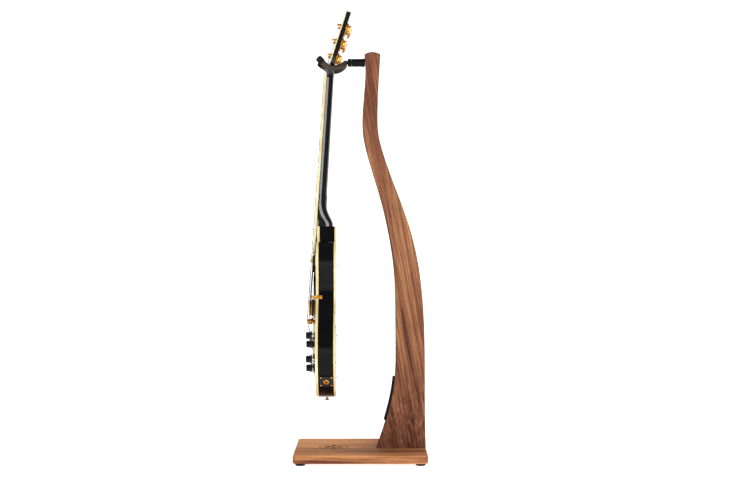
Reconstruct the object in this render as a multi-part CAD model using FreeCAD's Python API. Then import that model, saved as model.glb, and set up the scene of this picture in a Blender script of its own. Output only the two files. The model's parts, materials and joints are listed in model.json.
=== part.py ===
import FreeCAD, Part
import math
import os

# A walnut floor stand with a swivelling yoke, and a single-cutaway solid-body
# electric guitar hanging in the yoke by its headstock.
# Millimetres. +Z is up. The guitar faces -Y and its treble side is +X.
# The origin is the centre of the base board's footprint, on the floor.

V = FreeCAD.Vector
X_AXIS = V(1, 0, 0)
Y_AXIS = V(0, 1, 0)
Z_AXIS = V(0, 0, 1)

# ---- driving dimensions: stand ----
base_length = 337.0
base_width = 300.0
base_thickness = 21.0
base_corner = 11.0
base_edge = 4.0
rosette_y = -70.0
rosette_radius = 38.0
rosette_depth = 0.8
foot_height = 6.0
foot_radius = 12.8
foot_inset_x = 20.0
foot_inset_y = 18.5
post_width = 44.0
post_edge = 2.5
post_top = 1039.5
post_crown = 6.5
pad_thickness = 5.5
pad_width = 39.0
pad_bottom = 98.0
pad_top = 209.0
bolt_radius = 4.0
bolt_spacing = 70.0

# ---- driving dimensions: hanger ----
pivot_z = 1020.4
shaft_radius = 10.3
sleeve_front = -23.0
hub_front = -33.7
rod_radius = 5.0
arm_core = 4.0
arm_radius = 7.0
cap_radius = 8.6
cap_length = 15.0

# ---- driving dimensions: guitar body ----
body_bottom = 157.0
body_front = -112.0
body_back = -62.0
cap_rim = 6.5
back_binding_height = 5.0
binding_width = 2.0
arch_height = 9.0
arch_shelf = 7.0
arch_reach = 62.0
neck_block = 27.5
shoulder = 440.0
throat_height = 393.0

# ---- driving dimensions: neck ----
scale_length = 628.65
neck_tilt = 3.8
nut_y = -93.6
nut_z = 981.0
nut_width = 43.0
board_end_width = 57.0
board_length = 458.0
board_thickness = 6.0
board_radius = 305.0
board_binding = 1.5
nut_thickness = 5.0
truss_rod_length = 378.0
fret_count = 22
fret_width = 2.4
fret_height = 1.1
head_tilt = 18.0
head_y = -90.5
head_z = 985.3
head_thickness = 14.0
head_length = 176.0
head_binding = 2.0
head_binding_depth = 3.0
veneer = 1.5

# ---- driving dimensions: tuners ----
tuner_x = 27.0
tuner_heights = (53.0, 93.0, 133.0)
string_post_radius = 3.0
string_post_height = 12.0
running_gap = 0.06
gear_radius = 3.7
worm_radius = 2.6
gear_gap = 0.2
key_depth = 6.5

# ---- driving dimensions: bridge, pickups, controls ----
bridge_z = 353.0
bridge_string_y = -138.8
bridge_stud_x = 37.0
tail_z = 313.0
tail_string_y = -129.0
tail_stud_x = 41.0
nut_spread = 35.6
bridge_spread = 50.5
string_gauges = (1.17, 0.91, 0.66, 0.43, 0.33, 0.25)
string_order = (0, 1, 2, 5, 4, 3)
neck_pickup_z = 501.0
bridge_pickup_z = 388.0
knob_height = 16.0
knob_skirt = 13.5
knob_places = ((72.0, 298.0), (115.0, 322.6), (72.0, 237.6), (115.0, 263.5))
toggle_x = -85.0
toggle_z = 507.0
jack_height = 210.0
bracket_z = 418.0
jack_bore = 3.25
clear = 0.3


# ---- small helpers ----
def box(x0, x1, y0, y1, z0, z1):
    return Part.makeBox(x1 - x0, y1 - y0, z1 - z0, V(x0, y0, z0))


def rod(start, axis, radius, length):
    return Part.makeCylinder(radius, length, start, axis)


def rod_between(start, end, radius):
    along = end - start
    return Part.makeCylinder(radius, along.Length, start, along)


def join(shapes):
    result = shapes[0].fuse(shapes[1:])
    return result.removeSplitter()


def group(shapes):
    return Part.makeCompound(shapes)


def spline(points):
    curve = Part.BSplineCurve()
    curve.interpolate(points)
    return curve.toShape()


def line(start, end):
    return Part.makeLine(start, end)


def prism(edges, direction):
    wire = Part.Wire(Part.__sortEdges__(edges))
    return Part.Face(wire).extrude(direction)


def strip_between(start, end, thickness, width):
    """Flat strip whose width runs along Z."""
    along = end - start
    strip = box(0, along.Length, -thickness / 2, thickness / 2, -width / 2, width / 2)
    strip.rotate(V(0, 0, 0), Z_AXIS, math.degrees(math.atan2(along.y, along.x)))
    return strip.translate(start)


def soften(shape, radius, wanted):
    edges = [edge for edge in shape.Edges if wanted(edge)]
    return shape.makeFillet(radius, edges)


def rounded_polygon(points, radius):
    """Closed outline of straight sides joined by tangent arcs."""
    edges = []
    count = len(points)
    starts = []
    ends = []
    middles = []
    for i in range(count):
        corner = points[i]
        to_last = (points[i - 1] - corner).normalize()
        to_next = (points[(i + 1) % count] - corner).normalize()
        half = to_last.getAngle(to_next) / 2
        reach = radius / math.tan(half)
        inward = (to_last + to_next).normalize()
        starts.append(corner + to_last * reach)
        ends.append(corner + to_next * reach)
        middles.append(corner + inward * (radius / math.sin(half) - radius))
    for i in range(count):
        edges.append(Part.Arc(starts[i], middles[i], ends[i]).toShape())
        edges.append(line(ends[i], starts[(i + 1) % count]))
    return edges


def rounded_box(x_size, y_size, z_size, corner, centre, axis):
    """Block with its corners rounded about the given axis."""
    shape = box(-x_size / 2, x_size / 2, -y_size / 2, y_size / 2, -z_size / 2, z_size / 2)

    def runs_along(edge):
        direction = edge.Vertexes[1].Point - edge.Vertexes[0].Point
        return abs(direction.normalize().dot(axis)) > 0.99

    shape = soften(shape, corner, runs_along)
    return shape.translate(centre)


def smooth_path(points):
    """Straight runs joined by the largest tangent arcs that the runs allow."""
    edges = []
    here = points[0]
    for i in range(1, len(points) - 1):
        corner = points[i]
        back = points[i - 1] - corner
        ahead = points[i + 1] - corner
        reach = 0.45 * min(back.Length, ahead.Length)
        back = V(back).normalize()
        ahead = V(ahead).normalize()
        half = back.getAngle(ahead) / 2
        radius = reach * math.tan(half)
        bisector = (back + ahead).normalize()
        middle = corner + bisector * (radius / math.sin(half) - radius)
        start = corner + back * reach
        end = corner + ahead * reach
        edges.append(line(here, start))
        edges.append(Part.Arc(start, middle, end).toShape())
        here = end
    edges.append(line(here, points[-1]))
    return Part.Wire(edges)


def tube_along(path, radius):
    first = path.OrderedEdges[0]
    start = first.valueAt(first.FirstParameter)
    direction = first.tangentAt(first.FirstParameter)
    circle = Part.Wire(Part.makeCircle(radius, start, direction))
    return path.makePipeShell([circle], True, False)


def neck_frame(shape):
    """From the neck's own frame (nut front edge at the origin, +Z up the neck) to the row's."""
    shape = shape.copy()
    shape.rotate(V(0, 0, 0), X_AXIS, -neck_tilt)
    return shape.translate(V(0, nut_y, nut_z))


def head_frame(shape):
    """From the headstock's own frame (face at y = 0, +Z to its tip) to the row's."""
    shape = shape.copy()
    shape.rotate(V(0, 0, 0), X_AXIS, -head_tilt)
    return shape.translate(V(0, head_y, head_z))


def in_frame(point, tilt, origin_y, origin_z):
    turn = FreeCAD.Rotation(X_AXIS, -tilt)
    return turn.multVec(point) + V(0, origin_y, origin_z)


# ---- the stand ----
def post_front_curve():
    return spline([V(0, 41, foot_height + base_thickness), V(0, 68.5, 109), V(0, 86.5, 192),
                   V(0, 90.2, 320), V(0, 86, 480), V(0, 72.5, 575), V(0, 57.2, 644),
                   V(0, 33.3, 727), V(0, 15.5, 788), V(0, 5.6, 838), V(0, 5.2, 890),
                   V(0, 9.8, post_top)])


def post_back_curve():
    return spline([V(0, 50.8, post_top), V(0, 47.9, 989), V(0, 43.7, 885), V(0, 46.4, 832),
                   V(0, 57.2, 788), V(0, 85.8, 706), V(0, 116.4, 624), V(0, 144.4, 521),
                   V(0, 160.4, 397), V(0, 165.5, 232), V(0, 168, foot_height + base_thickness)])


def make_post():
    bottom = foot_height + base_thickness
    crown = Part.Arc(V(0, 9.8, post_top), V(0, 30.3, post_top + post_crown), V(0, 50.8, post_top))
    foot = line(V(0, 168, bottom), V(0, 41, bottom))
    edges = [post_front_curve(), crown.toShape(), post_back_curve(), foot]
    wire = Part.Wire(Part.__sortEdges__(edges))
    wire.translate(V(-post_width / 2, 0, 0))
    post = Part.Face(wire).extrude(V(post_width, 0, 0))

    def side_edge(edge):
        at_side = abs(abs(edge.CenterOfMass.x) - post_width / 2) < 0.01
        return at_side and edge.BoundBox.ZMax > bottom + 0.5

    post = soften(post, post_edge, side_edge)
    post = post.cut(rod(V(0, 0, pivot_z), Y_AXIS, 7.0, 38.0))
    for y in bolt_places():
        post = post.cut(rod(V(0, y, bottom - 1), Z_AXIS, 6.5, 51.0))
    return post


def bolt_places():
    return (104.0 - bolt_spacing / 2, 104.0 + bolt_spacing / 2)


def make_base_board():
    low = foot_height
    high = foot_height + base_thickness
    board = box(-base_width / 2, base_width / 2, -base_length / 2, base_length / 2, low, high)
    board = soften(board, base_corner, lambda e: e.BoundBox.ZLength > base_thickness - 1)
    board = soften(board, base_edge, lambda e: e.BoundBox.ZLength < 0.01)
    for y in bolt_places():
        board = board.cut(rod(V(0, y, low - 1), Z_AXIS, bolt_radius + 0.3, base_thickness + 2))
        board = board.cut(rod(V(0, y, low - 1), Z_AXIS, 10.0, 9.0))
    for x, y in foot_places():
        board = board.cut(rod(V(x, y, low - 1), Z_AXIS, 2.0, 13.0))
    return board.cut(rosette(high - rosette_depth))


def rosette(level):
    """Engraving in the board's top: a ring round six leaf-shaped cuts."""
    centre = V(0, rosette_y, level)
    below = V(0, 0, -1)
    ring = rod(centre, Z_AXIS, rosette_radius, 5).cut(rod(centre + below, Z_AXIS, rosette_radius - 3, 7))
    cuts = [ring]
    for turn in range(6):
        sides = [rod(centre + V(18, offset, 0), Z_AXIS, 20, 5) for offset in (-14, 14)]
        leaf = sides[0].common(sides[1])
        leaf.rotate(centre, Z_AXIS, 60 * turn)
        cuts.append(leaf)
    return group(cuts)


def foot_places():
    x = base_width / 2 - foot_inset_x
    y = base_length / 2 - foot_inset_y
    return ((-x, -y), (x, -y), (-x, y), (x, y))


def make_foot_pads():
    pads = []
    for x, y in foot_places():
        pad = Part.makeCone(foot_radius - 1.5, foot_radius, 1.5, V(x, y, 0), Z_AXIS)
        pad = pad.fuse(rod(V(x, y, 1.5), Z_AXIS, foot_radius, foot_height - 1.5))
        pad = pad.removeSplitter()
        pad = pad.cut(rod(V(x, y, -1), Z_AXIS, 5.0, 3.5))
        pads.append(pad.cut(rod(V(x, y, 0), Z_AXIS, 2.0, foot_height + 1)))
    return group(pads)


def make_base_fasteners():
    """Two post bolts with washers in their counterbores, and four foot screws."""
    pieces = []
    low = foot_height
    for y in bolt_places():
        washer = rod(V(0, y, low + 6.4), Z_AXIS, 9.0, 1.6)
        pieces.append(washer.cut(rod(V(0, y, low + 6), Z_AXIS, bolt_radius, 3)))
        head = rod(V(0, y, low + 0.9), Z_AXIS, 6.5, 5.5)
        hexagon = [V(3.4 * math.cos(math.radians(a)), y + 3.4 * math.sin(math.radians(a)), low)
                   for a in range(0, 360, 60)]
        socket = Part.Face(Part.makePolygon(hexagon + hexagon[:1])).extrude(V(0, 0, 4))
        shank = rod(V(0, y, low + 6.4), Z_AXIS, bolt_radius, 55.0)
        pieces.append(join([head.cut(socket), shank]))
    for x, y in foot_places():
        head = Part.makeCone(4.2, 1.9, 2.3, V(x, y, 2.5), Z_AXIS)
        shank = rod(V(x, y, 4.8), Z_AXIS, 1.9, 12.5)
        pieces.append(join([head, shank]))
    return group(pieces)


def make_threaded_inserts():
    """Two inserts in the foot of the post and one behind the hanger."""
    pieces = []
    bottom = foot_height + base_thickness
    for y in bolt_places():
        sleeve = rod(V(0, y, bottom), Z_AXIS, 6.5, 30.0)
        pieces.append(sleeve.cut(rod(V(0, y, bottom - 1), Z_AXIS, bolt_radius, 32.0)))
    sleeve = rod(V(0, 10.4, pivot_z), Y_AXIS, 7.0, 27.6)
    pieces.append(sleeve.cut(rod(V(0, 5, pivot_z), Y_AXIS, rod_radius, 34.0)))
    return group(pieces)


def make_back_rest_pad(post):
    slab = box(-pad_width / 2, pad_width / 2, 40, 120, pad_bottom, pad_top)
    bottom = foot_height + base_thickness
    front = post_front_curve()
    back = front.copy()
    back.translate(V(0, 3, 0))
    front.translate(V(0, -pad_thickness * 1.05, 0))
    edges = [front, back,
             line(front.Vertexes[0].Point, back.Vertexes[0].Point),
             line(front.Vertexes[-1].Point, back.Vertexes[-1].Point)]
    wire = Part.Wire(Part.__sortEdges__(edges))
    wire.translate(V(-pad_width / 2, 0, 0))
    strip = Part.Face(wire).extrude(V(pad_width, 0, 0)).common(slab)
    full = box(-pad_width, pad_width, 0, 200, bottom, 400)
    strip = strip.cut(post.common(full))
    outer = [e for e in strip.Edges if e.BoundBox.YMax < 120 and e.BoundBox.XLength > pad_width - 1]
    outer = [e for e in outer if not post.isInside(e.CenterOfMass + V(0, 0.5, 0), 0.01, True)]
    return strip.makeFillet(1.8, outer)


# ---- the hanger ----
def make_hanger_rod():
    """Steel rod, threaded into the post, with the collar that keeps the yoke on."""
    shank = rod(V(0, hub_front + 4.0, pivot_z), Y_AXIS, rod_radius, 66.0)
    collar = rod(V(0, hub_front + 2.2, pivot_z), Y_AXIS, 7.5, 1.8)
    return join([shank, collar])


def make_hanger_sleeve():
    sleeve = rod(V(0, sleeve_front, pivot_z), Y_AXIS, shaft_radius, 31.0)
    flange = rod(V(0, 4.6, pivot_z), Y_AXIS, shaft_radius + 0.7, 4.3)
    sleeve = join([sleeve, flange])
    return sleeve.cut(rod(V(0, -40, pivot_z), Y_AXIS, rod_radius, 80))


def arm_points(side):
    return [V(0, hub_front + 0.6, pivot_z), V(side * 4, hub_front - 5, pivot_z - 1),
            V(side * 25, -46, 1010.0), V(side * 35.2, -58, 1004.2), V(side * 36.0, -71, 1001.9),
            V(side * 36.4, -82, 1004.0), V(side * 40.5, -92, 1011.2), V(side * 46, -101, 1019.5)]


def arm_direction(side):
    points = arm_points(side)
    return (points[-1] - points[-2]).normalize()


def make_yoke_frame():
    hub_back = sleeve_front - clear
    hub = rod(V(0, hub_front + 1.8, pivot_z), Y_AXIS, shaft_radius, hub_back - hub_front - 1.8)
    nose = Part.makeCone(shaft_radius - 1.8, shaft_radius, 1.8, V(0, hub_front, pivot_z), Y_AXIS)
    hub = join([hub, nose])
    bore = rod(V(0, hub_front + 3.9, pivot_z), Y_AXIS, rod_radius + running_gap, 20.0)
    recess = rod(V(0, hub_front + 2.1, pivot_z), Y_AXIS, 7.5 + running_gap, 2.0)
    hub = hub.cut(group([bore, recess]))
    arms = []
    for side in (-1, 1):
        arm = tube_along(smooth_path(arm_points(side)), arm_core)
        arms.append(arm)
    keep = box(-80, 80, -140, hub_front + 1.6, 980, 1060)
    arms = [arm.common(keep) for arm in arms]
    return join([hub] + arms)


def arm_cover(side):
    outer = tube_along(smooth_path(arm_points(side)), arm_radius)
    outer = outer.common(box(-80, 80, -140, hub_front - 1.5, 980, 1060))
    half = box(0, 80, -140, 0, 980, 1060) if side > 0 else box(-80, 0, -140, 0, 980, 1060)
    return outer.common(half)


def make_arm_covers(frame):
    return group([arm_cover(-1).cut(frame), arm_cover(1).cut(frame)])


def make_arm_end_caps():
    caps = []
    for side in (-1, 1):
        along = arm_direction(side)
        start = arm_points(side)[-1] - along * 4.0
        cap = rod(start, along, cap_radius, cap_length - 1.5)
        tip = Part.makeCone(cap_radius, cap_radius - 1.5, 1.5, start + along * (cap_length - 1.5), along)
        cap = join([cap, tip])
        for step in (2.5, 5.5, 8.5):
            ring = rod(start + along * step, along, cap_radius + 1, 1.2)
            ring = ring.cut(rod(start + along * (step - 1), along, cap_radius - 1.0, 4))
            cap = cap.cut(ring)
        bore = rod(start - along, along, arm_radius, 5.0)
        caps.append(cap.cut(bore))
    return group(caps)


# ---- the guitar's body ----
def outline_edges(inset=0.0):
    """Single-cutaway outline in the plane y = 0, with z up from the body's lower end."""
    foot = V(0, 0, inset)
    throat = V(neck_block - inset, 0, throat_height)
    treble_corner = V(neck_block - inset, 0, shoulder - inset)
    bass_corner = V(-neck_block, 0, shoulder - inset)
    treble = spline([V(0, 0, 0), V(18, 0, 0.5), V(72, 0, 9.5), V(130, 0, 48), V(165, 0, 130),
                     V(143, 0, 205), V(106, 0, 258), V(108, 0, 310), V(117, 0, 350), V(108, 0, 385),
                     V(92, 0, 399.5), V(79, 0, 393), V(67, 0, 377.5), V(53, 0, 370.5),
                     V(39, 0, 373), V(30, 0, 382), V(neck_block, 0, throat_height)])
    bass = spline([V(-neck_block, 0, shoulder), V(-45, 0, shoulder - 0.5), V(-66, 0, 436.5),
                   V(-98, 0, 415), V(-116, 0, 368), V(-110, 0, 312), V(-103, 0, 268),
                   V(-124, 0, 222), V(-155, 0, 178), V(-163, 0, 120), V(-130, 0, 48),
                   V(-72, 0, 9.5), V(-18, 0, 0.5), V(0, 0, 0)])
    if inset > 0:
        treble = inset_curve(treble, inset, 56, foot, throat)
        bass = inset_curve(bass, inset, 44, bass_corner, foot)
    return [treble, line(throat, treble_corner), line(treble_corner, bass_corner), bass]


def inset_curve(edge, inset, steps, first, last):
    """Curve that runs inside an anticlockwise edge at a constant distance."""
    points = [first]
    for i in range(1, steps):
        place = edge.FirstParameter + (edge.LastParameter - edge.FirstParameter) * i / steps
        along = edge.tangentAt(place)
        points.append(edge.valueAt(place) + V(-along.z, 0, along.x) * inset)
    return spline(points + [last])


def body_face(inset=0.0):
    wire = Part.Wire(Part.__sortEdges__(outline_edges(inset)))
    wire.translate(V(0, 0, body_bottom))
    return Part.Face(wire)


def slab_from(face, y_low, y_high):
    face = face.copy()
    face.translate(V(0, y_low, 0))
    return face.extrude(V(0, y_high - y_low, 0))


def arch_surface(face):
    """Front surface of the carved cap: a shelf by the rim, then a smooth rise to a plateau."""
    rows = []
    rim = face.OuterWire
    columns = [-180 + 15 * i for i in range(25)]
    levels = [body_bottom - 15 + 15 * i for i in range(33)]
    for x in columns:
        row = []
        for z in levels:
            point = V(x, 0, z)
            rise = 0.0
            if face.isInside(point, 0.01, True):
                depth = rim.distToShape(Part.Vertex(point))[0]
                step = min(max((depth - arch_shelf) / arch_reach, 0.0), 1.0)
                rise = arch_height * math.sin(step * math.pi / 2) ** 2
            row.append(V(x, body_front - rise, z))
        rows.append(row)
    surface = Part.BSplineSurface()
    surface.interpolate(rows)
    return surface.toShape()


def arch_at(surface, x, z):
    """Depth of the carved surface at a place."""
    probe = line(V(x, -200, z), V(x, 0, z))
    return surface.distToShape(probe)[1][0][0].y


def neck_plane_cutter():
    cutter = box(-200, 200, -60, board_thickness, -700, 200)
    return neck_frame(cutter)


def control_cavity(y_low, y_high, grow):
    corners = [V(54 - grow, y_low, 216 - grow), V(92, y_low, 214 - grow), V(134 + grow, y_low, 252),
               V(136 + grow, y_low, 342 + grow), V(96, y_low, 344 + grow), V(54 - grow, y_low, 318)]
    return prism(rounded_polygon(corners, 9 + grow), V(0, y_high - y_low, 0))


def switch_cavity(y_low, y_high, grow):
    return rod(V(toggle_x, y_low, toggle_z), Y_AXIS, 19.0 + grow, y_high - y_low)


def make_cavity_covers():
    control = control_cavity(body_back - 2.0, body_back, 6.0)
    switch = switch_cavity(body_back - 2.0, body_back, 5.0)
    covers = group([control, switch])
    holes = [rod(place, V(0, -1, 0), 1.5, 14.0) for place in cover_screw_places()]
    return covers.cut(group(holes))


def cover_screw_places():
    places = [V(52, body_back, 212), V(138, body_back, 256), V(138, body_back, 345),
              V(52, body_back, 318)]
    for angle in (90, 210, 330):
        turn = math.radians(angle)
        places.append(V(toggle_x + 21.3 * math.cos(turn), body_back, toggle_z + 21.3 * math.sin(turn)))
    return places


def small_screw(place, outward, head_radius, shank_radius, length):
    """Dome-headed wood screw; place is the centre of the head's seat."""
    head = Part.makeSphere(head_radius * 1.25, place - outward * head_radius * 0.75)
    head = head.common(rod(place, outward, head_radius, head_radius))
    shank = rod(place - outward * length, outward, shank_radius, length)
    return join([head, shank])


def pickup_pocket(z_centre):
    return box(-36, 36, -130, -92, z_centre - 20, z_centre + 20)


# ---- the guitar's neck ----
def board_width(distance):
    return nut_width + (board_end_width - nut_width) * distance / board_length


def arched_section(width, front, depth, power, z):
    """Flat front, and a back that is a superellipse: 2 is round, more is squarer."""
    points = []
    steps = 12
    for i in range(steps + 1):
        angle = math.pi * i / steps
        c = math.cos(angle)
        s = math.sin(angle)
        x = math.copysign(abs(c) ** (2 / power), c) * width / 2
        y = front + abs(s) ** (2 / power) * depth
        points.append(V(x, y, z))
    return Part.Wire([spline(points), line(points[-1], points[0])])


def make_neck_blank():
    stations = ((0, 18.4, 2.3), (170, 19.9, 2.3), (300, 21.0, 2.3), (327, 22.4, 2.4),
                (347, 27.4, 2.8), (360, 34.5, 3.4), (369, 39.2, 4.2), (386, 40.5, 4.6))
    sections = [arched_section(board_width(s), board_thickness, depth, power, -s)
                for s, depth, power in stations]
    shaft = neck_frame(Part.makeLoft(sections[:3], True, False))
    heel = neck_frame(Part.makeLoft(sections[2:], True, False))
    tenon = neck_frame(box(-19, 19, board_thickness, 38, -452, -385))
    root = neck_frame(arched_section(nut_width, board_thickness, 18.4, 2.3, 0))
    throat = neck_frame(arched_section(nut_width, board_thickness - 1, 19.6, 2.4, 7))
    collar = head_frame(arched_section(head_width(26) - 0.5, 1.5, head_thickness - 0.5, 5.0, 26))
    crown = head_frame(arched_section(head_width(36) - 0.5, 1.5, head_thickness - 1.5, 7.0, 36))
    transition = Part.makeLoft([root, throat, collar, crown], True, False)
    head = head_frame(slab_from(head_face(0), 0, head_thickness))
    nut_seat = neck_frame(box(-40, 40, -20, board_thickness, 0, nut_thickness))
    blank = join([shaft, heel, tenon, transition, head])
    return blank.cut(nut_seat)


def head_width(height):
    """Width of the headstock: it flares from the nut, then widens slowly to the tip."""
    flare = min(max(height - 6, 0) / 44.0, 1.0)
    return nut_width + 33.0 * math.sin(flare * math.pi / 2) ** 2 + 8.0 * max(height - 50, 0) / 126


def head_face(inset):
    half = [(head_width(h) / 2 - inset, h) for h in (0, 8, 16, 24, 32, 40, 50, 80, 120)]
    top = head_length
    right = spline([V(w, 0, h) for w, h in half] + [V(42 - inset, 0, 160 - inset)])
    left = spline([V(-w, 0, h) for w, h in half] + [V(-42 + inset, 0, 160 - inset)])
    crown = spline([V(42 - inset, 0, 160 - inset), V(34 - inset, 0, top - 5 - inset),
                    V(0, 0, top - inset), V(-34 + inset, 0, top - 5 - inset),
                    V(-42 + inset, 0, 160 - inset)])
    foot = line(V(-half[0][0], 0, 0), V(half[0][0], 0, 0))
    return Part.Face(Part.Wire(Part.__sortEdges__([right, crown, left, foot])))


def make_headstock_veneer():
    plate = slab_from(head_face(head_binding), 0, veneer)
    for x, z in tuner_places():
        plate = plate.cut(rod(V(x, -1, z), Y_AXIS, 4.5, 5))
    return head_frame(plate)


def head_binding_ring():
    outer = slab_from(head_face(0), 0, head_binding_depth)
    inner = slab_from(head_face(head_binding), -1, head_binding_depth + 1)
    ring = outer.cut(inner)
    return head_frame(ring)


def board_blank(inset, low, high):
    """Tapered strip below the nut, in the neck's frame."""
    end = board_length
    half_nut = nut_width / 2 - inset
    half_end = board_end_width / 2 - inset
    corners = [V(-half_nut, low, 0), V(half_nut, low, 0), V(half_end, low, -end), V(-half_end, low, -end)]
    return Part.Face(Part.makePolygon(corners + corners[:1])).extrude(V(0, high - low, 0))


def crown_cylinder(lift):
    """Cylinder that gives the fingerboard its cross-radius."""
    start = V(0, board_radius, -board_length - 20)
    return rod(start, Z_AXIS, board_radius + lift, board_length + 60)


def fret_distance(number):
    return scale_length * (1 - 2 ** (-number / 12))


def make_inlay_blanks():
    blocks = []
    for number in (3, 5, 7, 9, 12, 15, 17, 19, 21):
        upper = fret_distance(number - 1)
        lower = fret_distance(number)
        middle = (upper + lower) / 2
        half_x = board_width(middle) * 0.33
        half_z = (lower - upper) * 0.31
        blocks.append(box(-half_x, half_x, -2, 3, -middle - half_z, -middle + half_z))
    shell = crown_cylinder(0).cut(crown_cylinder(-0.8))
    return [block.common(shell) for block in blocks]


def make_frets():
    shell = crown_cylinder(fret_height).cut(crown_cylinder(0))
    frets = []
    for number in range(1, fret_count + 1):
        place = fret_distance(number)
        half = board_width(place) / 2 - 0.3
        bar = box(-half, half, -3, 4, -place - fret_width / 2, -place + fret_width / 2)
        fret = bar.common(shell)
        frets.append(neck_frame(fret))
    return group(frets)


def make_nut():
    half = nut_width / 2
    block = box(-half, half, -2.4, board_thickness, 0, nut_thickness)
    block = soften(block, 1.0, lambda e: e.BoundBox.XLength > 1 and e.CenterOfMass.y < -2.3)
    nut = neck_frame(block)
    slots = []
    for index in range(6):
        top = nut_point(index)
        slots.append(rod(top + V(0, 0, -8), Z_AXIS, string_gauges[index] / 2 + 0.05, 16))
    return nut.cut(group(slots))


def make_truss_rod():
    bar = neck_frame(rod(V(0, board_thickness + 5, -truss_rod_length), Z_AXIS, 2.4, truss_rod_length - 2))
    nut = neck_frame(rod(V(0, board_thickness + 5, -2), Z_AXIS, 3.9, 10))
    return join([bar, nut])


def make_truss_rod_cover():
    corners = [V(-13, 0, 9), V(13, 0, 9), V(5.5, 0, 42), V(-5.5, 0, 42)]
    plate = prism(rounded_polygon(corners, 3.0), V(0, -2.0, 0))
    plate = plate.cut(group([rod(V(0, -5, z), Y_AXIS, 1.2, 8) for z in (13, 38)]))
    return head_frame(plate)


# ---- tuners ----
def tuner_places():
    return [(side * tuner_x, height) for side in (-1, 1) for height in tuner_heights]


def key_axis_z(height):
    return height - gear_radius - worm_radius - gear_gap


def make_tuner_bushings():
    pieces = []
    for x, z in tuner_places():
        sleeve = rod(V(x, 0, z), Y_AXIS, 4.5, head_thickness)
        washer = rod(V(x, -0.9, z), Y_AXIS, 7.2, 0.9)
        hexagon = [V(x + 5.6 * math.cos(math.radians(a)), -3.6, z + 5.6 * math.sin(math.radians(a)))
                   for a in range(0, 360, 60)]
        nut = Part.Face(Part.makePolygon(hexagon + hexagon[:1])).extrude(V(0, 2.7, 0))
        piece = join([sleeve, washer, nut])
        bore = rod(V(x, -10, z), Y_AXIS, string_post_radius + running_gap, 40)
        pieces.append(head_frame(piece.cut(bore)))
    return group(pieces)


def make_tuner_housings():
    """Closed gear cases on the back of the headstock, with a fixing ear and screw each."""
    pieces = []
    low = head_thickness
    for x, z in tuner_places():
        side = math.copysign(1, x)
        key_z = key_axis_z(z)
        centre = V(x, low + 6.2, (z + key_z) / 2 + 1.0)
        case = rounded_box(17.0, 12.4, 18.0, 4.0, centre, Y_AXIS)
        case = soften(case, 2.0, lambda e: e.CenterOfMass.y > low + 12.3)
        snout = rod(V(x + side * 7, low + key_depth, key_z), V(side, 0, 0), 3.9, 6.0)
        ear = rod(V(x - side * 4, low, z + 7.5), Y_AXIS, 4.2, 2.4)
        case = join([case, snout, ear])
        gear_space = rod(V(x, low - 1, z), Y_AXIS, gear_radius + 0.3, 11.0)
        worm_space = rod(V(x - side * 6.5, low + key_depth, key_z), V(side, 0, 0), worm_radius + 0.3, 13)
        shaft_bore = rod(V(x, low + key_depth, key_z), V(side, 0, 0), 2.0 + running_gap, 20)
        case = case.cut(gear_space).cut(worm_space).cut(shaft_bore)
        pieces.append(head_frame(case))
        screw = small_screw(V(x - side * 4, low + 2.4, z + 9.4), Y_AXIS, 2.2, 1.1, 8.0)
        pieces[-1] = pieces[-1].cut(head_frame(screw))
        pieces.append(head_frame(screw))
    return group(pieces)


def make_string_post(index):
    """Post with its gear disc, and the turns of string wound on it."""
    x, z = tuner_places()[index]
    low = head_thickness
    post = rod(V(x, -string_post_height, z), Y_AXIS, string_post_radius,
               string_post_height + low + key_depth + 2)
    waist = rod(V(x, -9.2, z), Y_AXIS, string_post_radius + 1, 3.6)
    waist = waist.cut(rod(V(x, -10, z), Y_AXIS, string_post_radius - 0.5, 6))
    post = post.cut(waist)
    hole = rod(V(x - 10, -7.4, z), X_AXIS, 0.7, 20)
    gear = rod(V(x, low + key_depth - 2, z), Y_AXIS, gear_radius, 4)
    post = join([post.cut(hole), gear])
    return group([head_frame(post), head_frame(winding(index))])


def winding(index):
    x, z = tuner_places()[index]
    gauge = max(string_gauges[string_order[index]], 0.4)
    turns = []
    inner = string_post_radius - 0.5
    for turn in range(3):
        y = -6.4 - turn * gauge
        ring = Part.makeTorus(inner + gauge / 2, gauge * 0.52, V(x, y, z), Y_AXIS)
        turns.append(ring)
    core = rod(V(x, -6.4 - 2 * gauge, z), Y_AXIS, inner + gauge / 2, 2 * gauge)
    core = core.cut(rod(V(x, -20, z), Y_AXIS, inner, 40))
    return join([core] + turns)


def make_tuner_key(index):
    """Worm, shaft and tulip button, turning about a line across the headstock."""
    x, z = tuner_places()[index]
    side = math.copysign(1, x)
    y = head_thickness + key_depth
    key_z = key_axis_z(z)
    outward = V(side, 0, 0)
    worm = rod(V(x - side * 6, y, key_z), outward, worm_radius, 12)
    shaft = rod(V(x, y, key_z), outward, 2.0, 20)
    collar = rod(V(x + side * 13.4, y, key_z), outward, 3.0, 3.0)
    sections = []
    for reach, tall, thick in ((16.0, 3.6, 3.0), (19.5, 7.4, 4.0), (25.0, 9.6, 4.6),
                               (30.5, 8.6, 4.3), (33.5, 5.4, 2.8)):
        ring = Part.Ellipse(V(0, 0, 0), tall, thick).toShape()
        ring = Part.Wire(ring)
        ring.rotate(V(0, 0, 0), Y_AXIS, 90)
        ring.translate(V(x + side * reach, y, key_z))
        sections.append(ring)
    button = Part.makeLoft(sections, True, False)
    return head_frame(join([worm, shaft, collar, button]))


# ---- strings and bridge ----
def spread(total, index):
    return -total / 2 + total * index / 5


def nut_point(index):
    lift = -fret_height - 0.5 - string_gauges[index] / 2
    return in_frame(V(spread(nut_spread, index), lift, nut_thickness / 2), neck_tilt, nut_y, nut_z)


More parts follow.
